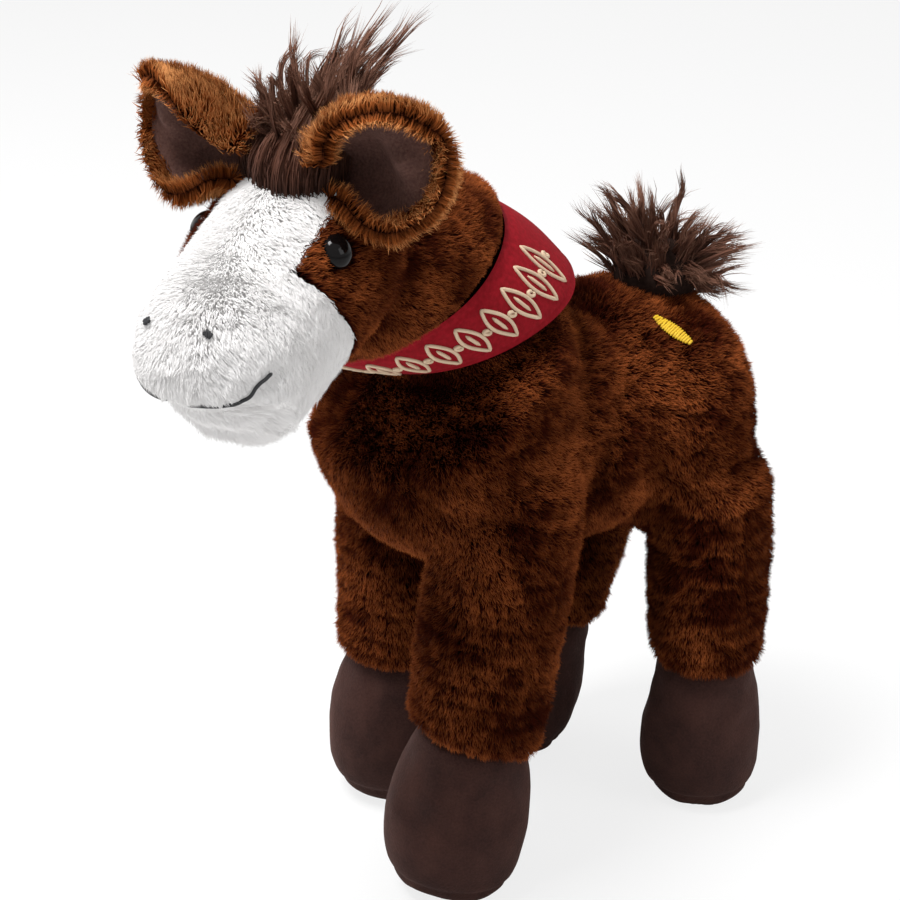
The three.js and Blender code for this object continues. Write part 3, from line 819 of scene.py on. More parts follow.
# The body: trunk and legs in one soft form, cut into the trunk and four legs
BODY_VOXEL, BODY_ROUNDS = 2.5, 14
BODY_PILE, CLUMP_SIZE, BODY_FILL = 4.4, 4.5, 0.7
CREASE_SLOPE, CREASE_DROP_SHARE = 0.62, 0.3
LEG_REACH = 5.0
LEG_BLEND = 26
CUFF_LAP, CUFF_CORE_SHARE = 3.5, 0.72
COMB_FROM, COMB_FADE = 150, 40
RIPPLE_HEIGHT, RIPPLE_LENGTH, RIPPLE_WANDER = 0.13, 5.8, 6
FORE_END = -25


def crease(name):
    """A leg's seam: a point on it and the direction into the leg, down and outward."""
    leg = LEGS[name]
    point = np.array([leg.side * LEG_SPREAD, leg.along, leg.height - CREASE_DROP_SHARE * leg.radius])
    return point, unit([leg.side * CREASE_SLOPE, 0, -1])


def in_leg(points, name):
    """True for points beyond a leg's seam and near the leg."""
    point, into_leg = crease(name)
    local = into(points, leg_axes(name))
    near = np.hypot(local[:, 0], local[:, 1]) < LEGS[name].radius + LEG_REACH
    return ((points - point) @ into_leg > 0) & near


def inside_cuff(points, name):
    """True for points on the closed end of a leg's skin, which its hoof covers."""
    local, radius = into(points, leg_axes(name)), LEGS[name].radius
    end = cuff_at(name) + CUFF_SLANT.get(name, 0) * local[:, 0] / radius
    core = np.hypot(local[:, 0], local[:, 1]) < radius * CUFF_CORE_SHARE
    return (local[:, 2] > end - CUFF_LAP) & core


def leg_of(points):
    """Which leg each point belongs to, counted from 0, or -1 for the trunk."""
    found = np.full(len(points), -1)
    for k, name in enumerate(LEGS):
        found[in_leg(points, name)] = k
    return found


def across_seam(thing, name, nodes=()):
    """A leg's piece below its seam: its place is baked into its points, and the plain nodes that it
    stands for are hidden. The seam's start and end between the trunk and the leg are worked out but
    not used.
    """
    point, into_leg = crease(name)
    start = (point + SHIFT) / 1000
    end = (point + into_leg * LEG_BLEND + SHIFT) / 1000
    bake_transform(thing)
    declared(nodes)


def body_comb(points):
    """Pile lies back and down on the trunk, and down and a little out on the legs."""
    down = np.clip((COMB_FROM - points[:, 2]) / COMB_FADE, 0, 1)[:, None]
    return (1 - down) * [0.0, 0.75, -0.65] + down * [0.0, 0.1, -1.0]


def leg_ripples(points):
    """Low waves in the pile round the legs, a few millimetres apart."""
    total = np.zeros(len(points))
    wander = RIPPLE_WANDER * cloud(points, 16.0, 3)
    for name in LEGS:
        along = into(points, leg_axes(name))[:, 2]
        total += in_leg(points, name) * np.sin(2 * np.pi * along / RIPPLE_LENGTH + wander)
    return RIPPLE_HEIGHT * total


# Grooves of the body, each a line on its left side, a depth and a width
WAIST = [(0, 2, 199), (28, 7, 188), (39, 1, 172), (43, -5, 157), (42, -11, 144)]
HAUNCH = [(25, 15, 190), (37, 10, 177), (42, 10, 161), (41, 12, 142), (30, 19, 120)]
BREAST = [(14, -91, 175), (26, -85, 167), (36, -73, 147), (34, -70, 116)]
FRONT_CREASE = [(38, -71, 147), (45, -61, 146), (53, -53, 147), (57, -42, 147), (50, -25, 140)]
HIND_CREASE = [(26, 25, 106), (46, 29, 108), (54, 40, 112)]
GROOVES = [(WAIST, 5.0, 7.0), (HAUNCH, 3.0, 6.0), (BREAST, 3.0, 4.5), (FRONT_CREASE, 2.6, 3.5),
           (HIND_CREASE, 1.6, 3.0)]

body = tightened(one_skin(
    [barrel(), lobe(CHEST), lobe(RUMP)] + [leg_tube(name) for name in LEGS], BODY_VOXEL, BODY_ROUNDS,
), BAND_SWING)
for points, depth, width in GROOVES:
    for side in (1, -1):
        pressed(body, route(points) * [side, 1, 1], depth, width)
face_middles = body.places[body.quads].mean(1)
face_leg = leg_of(face_middles)
for name, side, nodes in (
    ("trunk_left", 1, ["trunk_skin_left", "trunk_stuffing"]), ("trunk_right", -1, ["trunk_skin_right"]),
):
    half = part_of(body, (face_leg < 0) & (side * face_middles[:, 0] >= 0))
    riding(skin_object(name, half, BROWN_BACKING), "torso", nodes)
for k, name in enumerate(LEGS):
    thing = skin_object(f"leg_{name}", part_of(body, face_leg == k), BROWN_BACKING)
    across_seam(thing, name, [f"leg_skin_{name}", f"leg_stuffing_{name}"])

coat = Coat(
    body, 11, lambda points: BODY_PILE * cropped(points, BAND_SWING), 0.5, body_comb,
    clump_size=CLUMP_SIZE, relief=leg_ripples,
)
root_leg = leg_of(coat.roots)
bare = under_band(coat.roots)
for k, name in enumerate(LEGS):
    bare |= (root_leg == k) & inside_cuff(coat.roots, name)
for (name, side), end in itertools.product(SIDES, ("fore", "hind")):
    ahead = coat.roots[:, 1] < FORE_END
    chosen = (root_leg < 0) & ~bare & (side * coat.roots[:, 0] >= 0) & (ahead == (end == "fore"))
    riding(coat.piece(f"pile_trunk_{end}_{name}", chosen, CHESTNUT), "torso")
for k, name in enumerate(LEGS):
    across_seam(coat.piece(f"pile_leg_{name}", (root_leg == k) & ~bare, CHESTNUT), name)

# Eyes: glossy black domes
EYE_RADIUS, EYE_DEPTH_SHARE, EYE_SUNK_SHARE = 5.2, 0.75, 0.25
EYE_FORWARD, EYE_RISE = 20, 12
EYE_RIM, EYE_SHANK = 0.3, 8


def eye_axes(side):
    """An eye's frame: z out of the cheek."""
    share = EYE_FORWARD / HEAD_LENGTH + SKULL_SHARE
    row = [np.interp(share, *np.array(HEAD_ROWS)[:, [0, k]].T) for k in (1, 2, 3)]
    wide, top, bottom = row * np.array([HEAD_WIDTH / 2, HEAD_HEIGHT / 2, HEAD_HEIGHT / 2])
    middle, half = (top - bottom) / 2, (top + bottom) / 2
    reach = wide * math.sqrt(1 - ((EYE_RISE - middle) / half) ** 2)
    facing = UP * EYE_RISE / HEAD_HEIGHT**2 + LEFT * side * reach / HEAD_WIDTH**2
    return axes(head_place(EYE_FORWARD, EYE_RISE, side * reach), facing, AHEAD)


def eye(side):
    """A flattened ball, sunk a little into the pile."""
    along = -np.cos(np.pi * np.linspace(0.01, 0.99, 40))
    wide = EYE_RADIUS * np.sqrt(1 - along**2)
    high = EYE_RADIUS * (EYE_DEPTH_SHARE * along - EYE_SUNK_SHARE)
    return set_in(eye_axes(side), column(high, wide, wide))


def near_eye(points):
    """True for points that an eye or its rim covers."""
    covered = np.zeros(len(points), bool)
    for side in (1, -1):
        local = into(points, eye_axes(side))
        near = np.hypot(local[:, 0], local[:, 1]) < EYE_RADIUS - EYE_RIM
        covered |= near & (local[:, 2] > -EYE_SHANK)
    return covered


for name, side in SIDES:
    thing = mesh_object(f"button_eye_{name}", *eye(side), EYE_BLACK)
    riding(thing, "head", [f"eye_{name}"])

# The head and the nape in one soft form, parted by the seam of the white face
HEAD_VOXEL, HEAD_ROUNDS = 1.8, 8
HEAD_PILE, HEAD_FILL = 4.2, 0.8
MOUTH = [
    (71.5, -19.5, 0), (71.8, -18.6, 8.5), (69.5, -18.4, 14.2), (66.4, -17.6, 18.4), (64.2, -14.4, 21.1),
    (61.2, -11.2, 23.5), (57.5, -9.4, 24.7),
]
MOUTH_LINE = head_place(*np.vstack([route(MOUTH) * [1, 1, side] for side in (-1, 1)]).T)
MOUTH_DEPTH, MOUTH_WIDTH, MOUTH_PARTING = 2.6, 3.2, 1.2
CHIN_BACK, CHIN_TOP, CHIN_FRONT = 7.5, -15, 46
BLAZE_HALF = 16.5
MUZZLE_LENGTH, MUZZLE_LEAN, MUZZLE_SHIFT = 37, 32, 8
FOREHEAD_BACK = 3


def chin_back(skin):
    """Draws the chin back under the lips."""
    forward, high, _ = head_parts(skin.places)
    below = np.clip((CHIN_TOP - high) / 6, 0, 1) * np.clip((forward - CHIN_FRONT) / 14, 0, 1)
    skin.places = skin.places - AHEAD * (CHIN_BACK * below)[:, None]
    skin.normals = skin.point_normals()


def whiteness(points):
    """Above 0 in the white face: the distance inside the blaze or beyond the muzzle's seam."""
    forward, high, leftward = head_parts(points)
    seam = HEAD_LENGTH * (1 - SKULL_SHARE) - MUZZLE_LENGTH
    lean_sin, lean_cos = wave(MUZZLE_LEAN)
    muzzle = (forward - seam) * lean_cos - high * lean_sin + MUZZLE_SHIFT
    blaze = np.minimum(BLAZE_HALF - np.abs(leftward), forward + FOREHEAD_BACK)
    return np.maximum(muzzle, np.where(high > 0, blaze, -20))


def head_comb(points):
    """Pile on the head lies back from the nose and down the cheeks."""
    return np.broadcast_to(-0.8 * AHEAD - 0.6 * UP, points.shape)


def face_comb(points):
    """White pile spreads from the bridge of the nose out and down over the muzzle."""
    _, high, leftward = head_parts(points)
    out = np.clip(leftward / 15, -1, 1)[:, None]
    return 0.35 * AHEAD + out * LEFT - 0.8 * UP * np.clip(1 - high / 25, 0.2, 1.4)[:, None]


def face_length(points):
    """White pile is short on the bridge, longer under the chin and parted at the mouth."""
    forward, high, _ = head_parts(points)
    reach = 3.4 + 4.0 * np.clip((forward - 20) / 30, 0, 1) * np.clip((-8 - high) / 16, 0, 1)
    return reach * (0.4 + 0.6 * np.clip((distance_to(points, MOUTH_LINE) - 1) / 6, 0, 1))


head = tightened(one_skin([head_body(), nape()], HEAD_VOXEL, HEAD_ROUNDS), HEAD_SWING)
chin_back(head)
pressed(head, MOUTH_LINE, MOUTH_DEPTH, MOUTH_WIDTH)
white_face = whiteness(head.places[head.quads].mean(1)) > 0
for name, chosen, material, slot, nodes in (
    ("head", ~white_face, BROWN_BACKING, "brown_plush", ["head_skin", "head_stuffing"]),
    ("face", white_face, WHITE_BACKING, "white_plush", ["face_panel"]),
):
    riding(skin_object(name, part_of(head, chosen), material), "head", nodes)

head_coat = Coat(
    head, 23, lambda points: HEAD_PILE * cropped(points, HEAD_SWING), 0.5, head_comb,
    clump_size=CLUMP_SIZE,
)
brown = (whiteness(head_coat.roots) < 0) & ~under_band(head_coat.roots) & ~near_eye(head_coat.roots)
for name, side in SIDES:
    chosen = brown & (side * head_parts(head_coat.roots)[2] >= 0)
    riding(head_coat.piece(f"pile_head_{name}", chosen, CHESTNUT), "head")
face_coat = Coat(
    head, 37, face_length, 0.85, face_comb, clump_size=6.0, density=1.5, tone=0.7, stray=0.09
)
parted = distance_to(face_coat.roots, MOUTH_LINE) < MOUTH_PARTING
chosen = (whiteness(face_coat.roots) > 0) & ~near_eye(face_coat.roots) & ~parted
# The white face's pile glows faintly: painted light
riding(face_coat.piece("pile_face", chosen, WHITE_PAINTED_GLOW), "head")

# Hooves: stuffed velour feet
FOOT_VOXEL, FOOT_ROUNDS, FOOT_FILL = 3.0, 2, 0.8
FOOT_CAP = 1.6
FOOT_HELD, FOOT_SOLE = 5, 1.0
FOOT_FRAMES = 20
FOOT_CLOTH = dict(
    quality=5, mass=0.15, tension_stiffness=8, bending_stiffness=0.05, shrink_min=-0.04,
    use_pressure=True, uniform_pressure_force=4, vertex_group_mass="held",
)
HOOF_TOE, HOOF_WANDER = 2.6, 1.6
SEAM_SHARE, SEAM_WIDTH, SEAM_DEPTH = 0.87, 0.022, 0.9


def on_floor(places):
    """Points that have sunk below the floor are raised to it."""
    places[:, 2] = np.maximum(places[:, 2], 0.0)
    return places


def hoof(name):
    """A rounded foot from the cuff to the sole, flat where it stands and bulging at the toe."""
    place, cuff = leg_axes(name), cuff_at(name)
    rows = smooth_rows(HOOF_ROWS, 60)
    low = cuff + rows[:, 0] * HOOF_HEIGHT
    wide = LEGS[name].radius * HOOF_WIDTH_SHARE * rows[:, 1]
    toe = HOOF_TOE * np.sin(np.pi * np.clip(rows[:, 0] * 1.15 - 0.15, 0, 1))
    shape = loft(np.column_stack([low, -toe / 2, 0 * low, wide + toe / 2, wide]), 72)
    places, faces = set_in(place, shape)
    outward = unit(places - out_of(np.array([0, 0, leg_length(name) - HOOF_HEIGHT / 2]), place))
    return on_floor(places + outward * (cloud(places, 14.0, 5)[:, None] - 0.5) * HOOF_WANDER), faces


def blown_up(thing, held):
    """Where a piece's points lie after its filling has swelled it: cloth under pressure for some
    frames, with the points in held pinned."""
    scene = bpy.context.scene
    thing.vertex_groups.new(name="held").add(np.flatnonzero(held).tolist(), 1.0, "REPLACE")
    cloth = thing.modifiers.new("cloth", "CLOTH")
    for key, value in FOOT_CLOTH.items():
        setattr(cloth.settings, key, value)
    cloth.settings.effector_weights.gravity = 0
    for step in range(FOOT_FRAMES):
        scene.frame_set(step + 1)
    places = after_modifiers(thing)[0]
    thing.modifiers.remove(cloth)
    scene.frame_set(1)
    return places


def stuffed_foot(name):
    """A foot's cloth: remeshed, swelled by its filling, subdivided, and drawn in at its sole's seam."""
    cloth = one_skin([hoof(name)], FOOT_VOXEL, FOOT_ROUNDS)
    thing = mesh_object("draft", cloth.places, cloth.quads)
    down = into(cloth.places, leg_axes(name))[:, 2]
    held = (down < cuff_at(name) + FOOT_HELD) | (cloth.places[:, 2] < FOOT_SOLE)
    moved = blown_up(thing, held) - cloth.places
    far = np.linalg.norm(moved, axis=1, keepdims=True)
    moved = moved * FOOT_CAP * np.tanh(far / FOOT_CAP) / np.maximum(far, 1e-6)
    thing.data.vertices.foreach_set("co", ((cloth.places + moved + SHIFT) / 1000).ravel())
    finer = thing.modifiers.new("finer", "SUBSURF")
    finer.levels = 1
    foot = Skin(*after_modifiers(thing))
    drop(thing)
    share = (into(foot.places, leg_axes(name))[:, 2] - leg_length(name)) / HOOF_HEIGHT + 1
    press = SEAM_DEPTH * np.exp(-(((share - SEAM_SHARE) / SEAM_WIDTH) ** 2))
    foot.places = on_floor(foot.places - foot.normals * press[:, None])
    return foot


for name in LEGS:
    thing = skin_object(f"foot_{name}", stuffed_foot(name), VELOUR)
    riding(thing, f"leg_{name}", [f"hoof_{name}"])

# Ears: deep leaves with pile outside and over the rim, and a puffy velour lining
EAR_LENGTH, EAR_HALF_WIDTH = 34, 17.5
EAR_FORWARD, EAR_RISE, EAR_SPREAD = -2, 33, 18
EAR_LIFT, EAR_LEAN = 18, 10
EAR_CURL = 6

# An ear: shares of its length and of its half width, and half of its arc in degrees
EAR_ROWS = [(-0.12, 0.5, 148), (0.06, 0.6, 140), (0.24, 0.84, 118), (0.45, 1, 98), (0.66, 0.98, 82),
            (0.84, 0.82, 70), (0.95, 0.54, 62), (1, 0.26, 55)]
EAR_SHELL = 2.2
EAR_PILE, EAR_PARTING = 5.4, 1.3
LINING_GAP = 0.2
LINING_LENGTH, LINING_ARC, LINING_THICK, LINING_PUFF = 0.9, 0.9, 2.4, 3.2


def ear_axes(side):
    """An ear's frame: z out along the ear, y towards its hollow side."""
    lift_sin, lift_cos = wave(EAR_LIFT)
    lean_sin, lean_cos = wave(EAR_LEAN)
    outward = UP * lift_sin + side * LEFT * lift_cos
    facing = lean_cos * AHEAD - lean_sin * UP
    return axes(head_place(EAR_FORWARD, EAR_RISE, side * EAR_SPREAD), outward, np.cross(facing, outward))


def leaf(side, length, arc, outer, thick, puff=0.0, rows=40, columns=44):
    """A cupped leaf of arcs, closed round its rim. It starts at a distance inside the ear's own
    arc, thins to a round edge, and is puffed up towards its tip, which leaves a hollow at its foot."""
    table = smooth_rows(EAR_ROWS, rows)
    share = np.clip(table[:, :1], 0, 1)
    across = np.linspace(-1, 1, columns)
    turn = across * np.radians(table[:, 2:3]) * arc
    widest = EAR_HALF_WIDTH * table[:, 1:2] / np.sin(np.minimum(np.radians(table[:, 2:3]), np.pi / 2))
    plump = (1 - across**8) * (1 - share**10) + 0.02
    puffed = np.exp(-(((share - 0.72) / 0.2) ** 2)) * np.exp(-(((across + 0.1) / 0.6) ** 2))
    thick = thick * (1 + puff * puffed)
    middle = widest - outer - thick / 2
    sheets = []
    for reach in (middle + plump * thick / 2, middle - plump * thick / 2):
        along = table[:, :1] * EAR_LENGTH * length + 0 * across
        curl = EAR_CURL * (share * length) ** 2
        sheets.append(np.stack([reach * np.sin(turn), widest - reach * np.cos(turn) + curl, along], -1))
    grid = np.concatenate([sheets[0], sheets[1][:, ::-1]], 1)
    around = grid.shape[1]
    k = np.arange(around)
    after = (k + 1) % around
    low = np.arange(rows - 1)[:, None] * around
    quads = np.stack([low + k, low + after, low + around + after, low + around + k], -1).reshape(-1, 4)
    last = (rows - 1) * around
    cap = np.arange(columns - 1)
    ends = [np.stack([start + cap, start + cap + 1, start + around - 2 - cap, start + around - 1 - cap], -1)
            for start in (0, last)]
    quads = np.vstack([quads, ends[0][:, ::-1], ends[1]])
    return Skin(out_of(grid.reshape(-1, 3), ear_axes(side)), quads)


def ear_comb(side):
    """Pile on an ear lies out towards its tip and away from its hollow's middle."""
    place = ear_axes(side)

    def comb(points):
        across = into(points, place)[:, 0]
        away = np.stack([across / 12, np.full(len(points), -0.35), np.full(len(points), 0.5)], -1)
        return away @ place[0].T

    return comb


def distance_from(skin, points):
    """Each point's distance to the nearest place on a skin."""
    tree = skin.tree()
    return np.array([tree.find_nearest(point)[3] for point in points.tolist()])


for name, side in SIDES:
    ear = f"ear_{name}"
    shell = leaf(side, 1, 1, -EAR_SHELL / 2, EAR_SHELL)
    riding(skin_object(ear, shell, BROWN_BACKING), ear, [f"ear_outer_{name}"])
    # The lining uses the lighter velour: painted light
    lining = leaf(
        side, LINING_LENGTH, LINING_ARC, EAR_SHELL / 2 + LINING_GAP, LINING_THICK, LINING_PUFF
    )
    riding(skin_object(f"lining_{name}", lining, PAINTED_LIT_EAR_VELOUR), ear, [f"ear_lining_{name}"])
    # The ears' pile starts lighter, with tone 0.7, and uses the lighter chestnut: painted light on the lit
    # ears
    fur = Coat(shell, 51 + side, EAR_PILE, 0.5, ear_comb(side), density=1.2, tone=0.7)
    outside = distance_from(lining, fur.roots) > EAR_PARTING
    riding(fur.piece(f"pile_{ear}", outside, PAINTED_LIT_CHESTNUT), ear)

# The neck's sleeve, which the band covers
SLEEVE_INSET, SLEEVE_DROP, SLEEVE_LENGTH_SHARE = 9.0, 2, 0.4


def sleeve():
    """A short rounded sleeve, hidden inside the band."""
    share = np.linspace(-1, 1, 24)
    along = SLEEVE_LENGTH_SHARE / 2 * NECK_LENGTH * share - SLEEVE_DROP
    radius = (NECK_RADIUS - SLEEVE_INSET) * (1 - 0.12 * share**4)
    return set_in(NECK_AXES, column(along, radius, radius))


thing = mesh_object("neck_sleeve", *sleeve(), BROWN_BACKING)
riding(thing, "neck", ["neck_skin", "neck_stuffing"])

# The band of cloth round the neck, narrow at the throat and wide at the nape
BAND_CLOTH = 1.3
BAND_STEPS, BAND_ROWS = 240, 26
REACH_STEPS, REACH_ROWS = 72, 9
RAY_START, BARE_REACH = 80, 38.0
HEM_DEPTH, HEM_AT, HEM_WIDTH, EDGE_WIDTH = 0.55, 2.6, 0.8, 1.2


def band_line(turns, shares):
    """The band's middle and the direction out of it, at angles from the nape and shares of its
    width."""
    cosine, sine, share = (np.asarray(k)[..., None] for k in (np.cos(turns), np.sin(turns), shares))
    (low_axes, low), (high_axes, high) = BAND_LOWER, BAND_UPPER
    low_out = cosine * low_axes[:, 0] + sine * low_axes[:, 1]
    high_out = cosine * high_axes[:, 0] + sine * high_axes[:, 1]
    return (1 - share) * low + share * high, unit((1 - share) * low_out + share * high_out)


def band_reach():
    """How far the band lies from its middle at each angle and row: snug on the skins, but between
    its least and greatest radius, and calmed by a running mean."""
    turns = np.linspace(0, 2 * np.pi, REACH_STEPS, endpoint=False)
    turns, shares = np.meshgrid(turns, np.linspace(0, 1, REACH_ROWS), indexing="ij")
    middles, outs = band_line(turns, shares)
    trees = [body.tree(), head.tree()]
    found = np.empty(turns.shape)
    for at in np.ndindex(turns.shape):
        start = Vector(middles[at] + RAY_START * outs[at])
        hits = [tree.ray_cast(start, Vector(-outs[at]))[3] for tree in trees]
        found[at] = RAY_START - min([hit for hit in hits if hit is not None] or [RAY_START - BARE_REACH])
    found = np.clip(found + BAND_EASE, BAND_GRIP + GRIP_CLEAR, BAND_RADIUS + BAND_SLACK)
    for _ in range(3):
        found = (np.roll(found, 1, 0) + 2 * found + np.roll(found, -1, 0)) / 4
        found[:, 1:-1] = (found[:, :-2] + 2 * found[:, 1:-1] + found[:, 2:]) / 4
    return found


BAND_REACH = band_reach()


def band_place(turns, shares, out):
    """Places on the band for matching arrays of angles, shares of its width and distances out."""
    turns, shares, out = np.broadcast_arrays(turns, shares, out)
    steps, rows = BAND_REACH.shape
    at = turns / (2 * np.pi) % 1 * steps
    row = np.clip(shares, 0, 1) * (rows - 1)
    i, j = np.floor(at).astype(int) % steps, np.minimum(row.astype(int), rows - 2)
    p, q = at - np.floor(at), row - j
    after = (i + 1) % steps
    reach = (
        (1 - p) * (1 - q) * BAND_REACH[i, j] + p * (1 - q) * BAND_REACH[after, j]
        + (1 - p) * q * BAND_REACH[i, j + 1] + p * q * BAND_REACH[after, j + 1]
    )
    middle, outward = band_line(turns, shares)
    return middle + outward * (reach + out)[..., None]


def band_billow(turns, shares):
    """How far the cloth stands out between its hems."""
    return 0.9 * np.sin(np.pi * shares) + 0.35 * np.sin(5 * turns + 3 * shares)


def band():
    """A closed strip with thickness: hemmed edges and a slight billow between them."""
    turn = np.linspace(0, 2 * np.pi, BAND_STEPS, endpoint=False)[:, None]
    share = np.linspace(0, 1, BAND_ROWS)
    wide = np.linalg.norm(band_place(turn, 1.0, 0.0) - band_place(turn, 0.0, 0.0), axis=-1)
    edge = np.minimum(share, 1 - share) * wide
    hem = HEM_DEPTH * np.exp(-((edge - HEM_AT) / HEM_WIDTH) ** 2)
    billow = band_billow(turn, share)
    half = BAND_CLOTH / 2 * np.sqrt(np.clip(1 - (1 - np.clip(edge / EDGE_WIDTH, 0, 1)) ** 2, 0, 1))
    outer = band_place(turn, share, billow + half - hem)
    inner = band_place(turn, share, billow - half)
    grid = np.concatenate([outer, inner[:, ::-1]], 1)
    around = grid.shape[1]
    k = np.arange(around)
    after = (k + 1) % around
    low = np.arange(BAND_STEPS)[:, None] * around
    high = (low + around) % (BAND_STEPS * around)
    quads = np.stack([low + k, high + k, high + after, low + after], -1)
    return Skin(grid.reshape(-1, 3), quads.reshape(-1, 4))


scarf = skin_object("neck_band", band(), BAND_RED)
riding(scarf, "scarf", ["scarf"])

# Stitches: threads that lie on the cloth
ORNAMENT_FROM, ORNAMENT_TO, ORNAMENT_STEP = 200, 322, 10.2
ORNAMENT_THREAD, ORNAMENT_RISE = 0.62, 0.2
MOUTH_THREAD, MOUTH_RISE = 0.55, 2.1
SATIN_THREAD = 0.5
NOSTRIL = (66.8, 4.8, 10.6)
MARK = np.array([28.4, 28.1, 187.3])
MARK_ALONG = unit([14.3, 6.1, -7.0])
MARK_ACROSS = unit(np.cross(MARK_ALONG, [0.6, 0.2, 0.78]))


def thread(points, normals, radius, sides=8):
    """A round thread along points, closed at both ends."""
    points, normals = np.asarray(points, float), unit(normals)
    run = unit(np.gradient(points, axis=0))
    across = unit(np.cross(run, normals))
    rise = np.cross(across, run)
    turn = np.linspace(0, 2 * np.pi, sides, endpoint=False)
    taper = np.ones(len(points))
    taper[[0, -1]] = 0.35
    ring = (across[:, None] * np.cos(turn)[:, None] + rise[:, None] * np.sin(turn)[:, None])
    places = points[:, None] + ring * (radius * taper)[:, None, None]
    return np.vstack([places.reshape(-1, 3), points[0], points[-1]]), tube_faces(len(points), sides)


def on_skin(skin, points, out):
    """Points moved onto a skin and then out along its normals, and those normals."""
    tree = skin.tree()
    found = [tree.find_nearest(point) for point in np.asarray(points).tolist()]
    normals = np.array([f[1][:] for f in found])
    return np.array([f[0][:] for f in found]) + normals * out, normals


def motif():
    """One ornament of the band, an open leaf with a bead between it and the next: its lines as
    offsets round the band, in millimetres, and shares of the width."""
    low, high, bow, lean = 0.17, 0.83, 3.0, 2.4
    share = np.linspace(low, high, 16)
    rise = (share - low) / (high - low)
    lines = [(side * bow * np.sin(np.pi * rise) + lean * (rise - 0.5), share) for side in (-1, 1)]
    round_bead = np.linspace(0, 2 * np.pi, 12)
    lines.append((ORNAMENT_STEP / 2 + 0.9 * np.cos(round_bead), 0.5 + 0.04 * np.sin(round_bead)))
    lines.append((np.linspace(-0.6, 0.6, 6), np.linspace(0.36, 0.64, 6)))
    return lines


def band_stitches():
    """The ornament repeated along the band's left side."""
    threads = []
    for turn in np.arange(ORNAMENT_FROM, ORNAMENT_TO, math.degrees(ORNAMENT_STEP / BAND_RADIUS)):
        for offset, share in motif():
            angle = np.radians(turn) + offset / BAND_RADIUS
            points = band_place(angle, share, 0.0)
            outward = band_place(angle, share, 1.0) - points
            rise = band_billow(angle, share) + BAND_CLOTH / 2 + ORNAMENT_RISE
            threads.append(thread(points + outward * rise[:, None], outward, ORNAMENT_THREAD))
    return threads


def calmed(line, rounds=8):
    """A line smoothed by running means, its ends held."""
    line = line.copy()
    for _ in range(rounds):
        line[1:-1] = (line[:-2] + 2 * line[1:-1] + line[2:]) / 4
    return line


def satin(skin, middle, along, across, out, width, length, count):
    """A patch of close parallel stitches on a skin, wide in its middle."""
    threads = []
    for place in np.linspace(-0.5, 0.5, count):
        reach = width / 2 * (1 - 2.2 * place**2)
        line = middle + along * (place * length) + across * np.linspace(-reach, reach, 8)[:, None]
        threads.append(thread(*on_skin(skin, line, out), SATIN_THREAD))
    return threads


def mouth_stitches():
    """The mouth from cheek to cheek, and two nostrils in satin stitch."""
    threads = []
    for side in (1, -1):
        line = head_place(*(route(MOUTH)[4:] * [1, 1, side]).T)
        places, normals = on_skin(head, line, MOUTH_RISE)
        threads.append(thread(calmed(places), calmed(normals), MOUTH_THREAD))
    for side in (1, -1):
        middle = head_place(*NOSTRIL[:2], side * NOSTRIL[2])
        threads += satin(head, middle, -LEFT, UP, 2.2, width=3.4, length=2.2, count=4)
    return threads


mark = satin(body, MARK, MARK_ALONG, MARK_ACROSS, 3.4, width=5.4, length=15, count=17)
for name, threads, material, carrier, slot in (
    ("band_ornament", band_stitches(), CREAM_THREAD, "scarf", "scarf_cloth"),
    ("mouth_and_nostrils", mouth_stitches(), BLACK_THREAD, "head", "white_plush"),
    ("rump_mark", mark, YELLOW_THREAD, "torso", "brown_plush"),
):
    riding(mesh_object(name, *joined(threads), material), carrier)

# Hair: tufts of tapering locks
HAIRS_PER_LOCK = 170
WISP_HAIRS = 30
HAIR_WIDTH = 0.42
HAIR_GATHER = 0.25
WISPS_PER_TIP = 5
WISP_SPREAD, WISP_CURL = 1.0, 2.6


def locks(name, guides, seed, spread, count, curl):
    """Locks of hair: each guide is a foot, a bend and a tip, and its hairs close in to the tip.
    A lock curls by curl * share * sin(7 share + phase) in a direction of its own."""
    chance = np.random.default_rng(seed)
    spines, tones = [], []
    for start, bend, tip in guides:
        start, bend, tip = (np.asarray(p, float) for p in (start, bend, tip))
        off = chance.normal(0, spread * 0.5, (count, 3))
        far = chance.normal(0, HAIR_GATHER, (count, 3))
        reach = (0.55 + 0.45 * chance.random(count) ** 0.7)[:, None]
        share = np.linspace(0, 1, 6)[None, :, None] * reach[:, None]
        wander = chance.normal(0, 1.4, (count, 1, 3)) * share**2
        a, b, c = start + off, bend + 0.75 * off, tip + far
        spine = (1 - share) ** 2 * a[:, None] + 2 * share * (1 - share) * b[:, None] + share**2 * c[:, None]
        curled = curl * share * np.sin(7 * share + 6.3 * chance.random()) * unit(chance.normal(0, 1, 3))
        spines.append(spine + wander + curled)
        tones.append(np.clip(0.45 + 0.3 * (chance.random() - 0.5) + chance.normal(0, 0.17, count), 0, 1))
    spines = np.concatenate(spines)
    run = unit(spines[:, -1] - spines[:, 0])
    sides = unit(np.cross(run, chance.normal(0, 1, run.shape)))[:, None]
    widths = np.tile([1, 1, 0.95, 0.8, 0.5, 0.0], (len(spines), 1)) * HAIR_WIDTH
    return blades(name, spines, np.broadcast_to(sides, spines.shape), widths, np.concatenate(tones), MANE)


def pad(place, size, rise=2):
    """A rounded pad under a tuft, in the frame given."""
    along = -np.cos(np.pi * np.linspace(0.02, 0.98, 24))
    full = np.sqrt(1 - along**2)
    return set_in(place, column(along * size[2] + rise, size[0] * full, size[1] * full, 48))


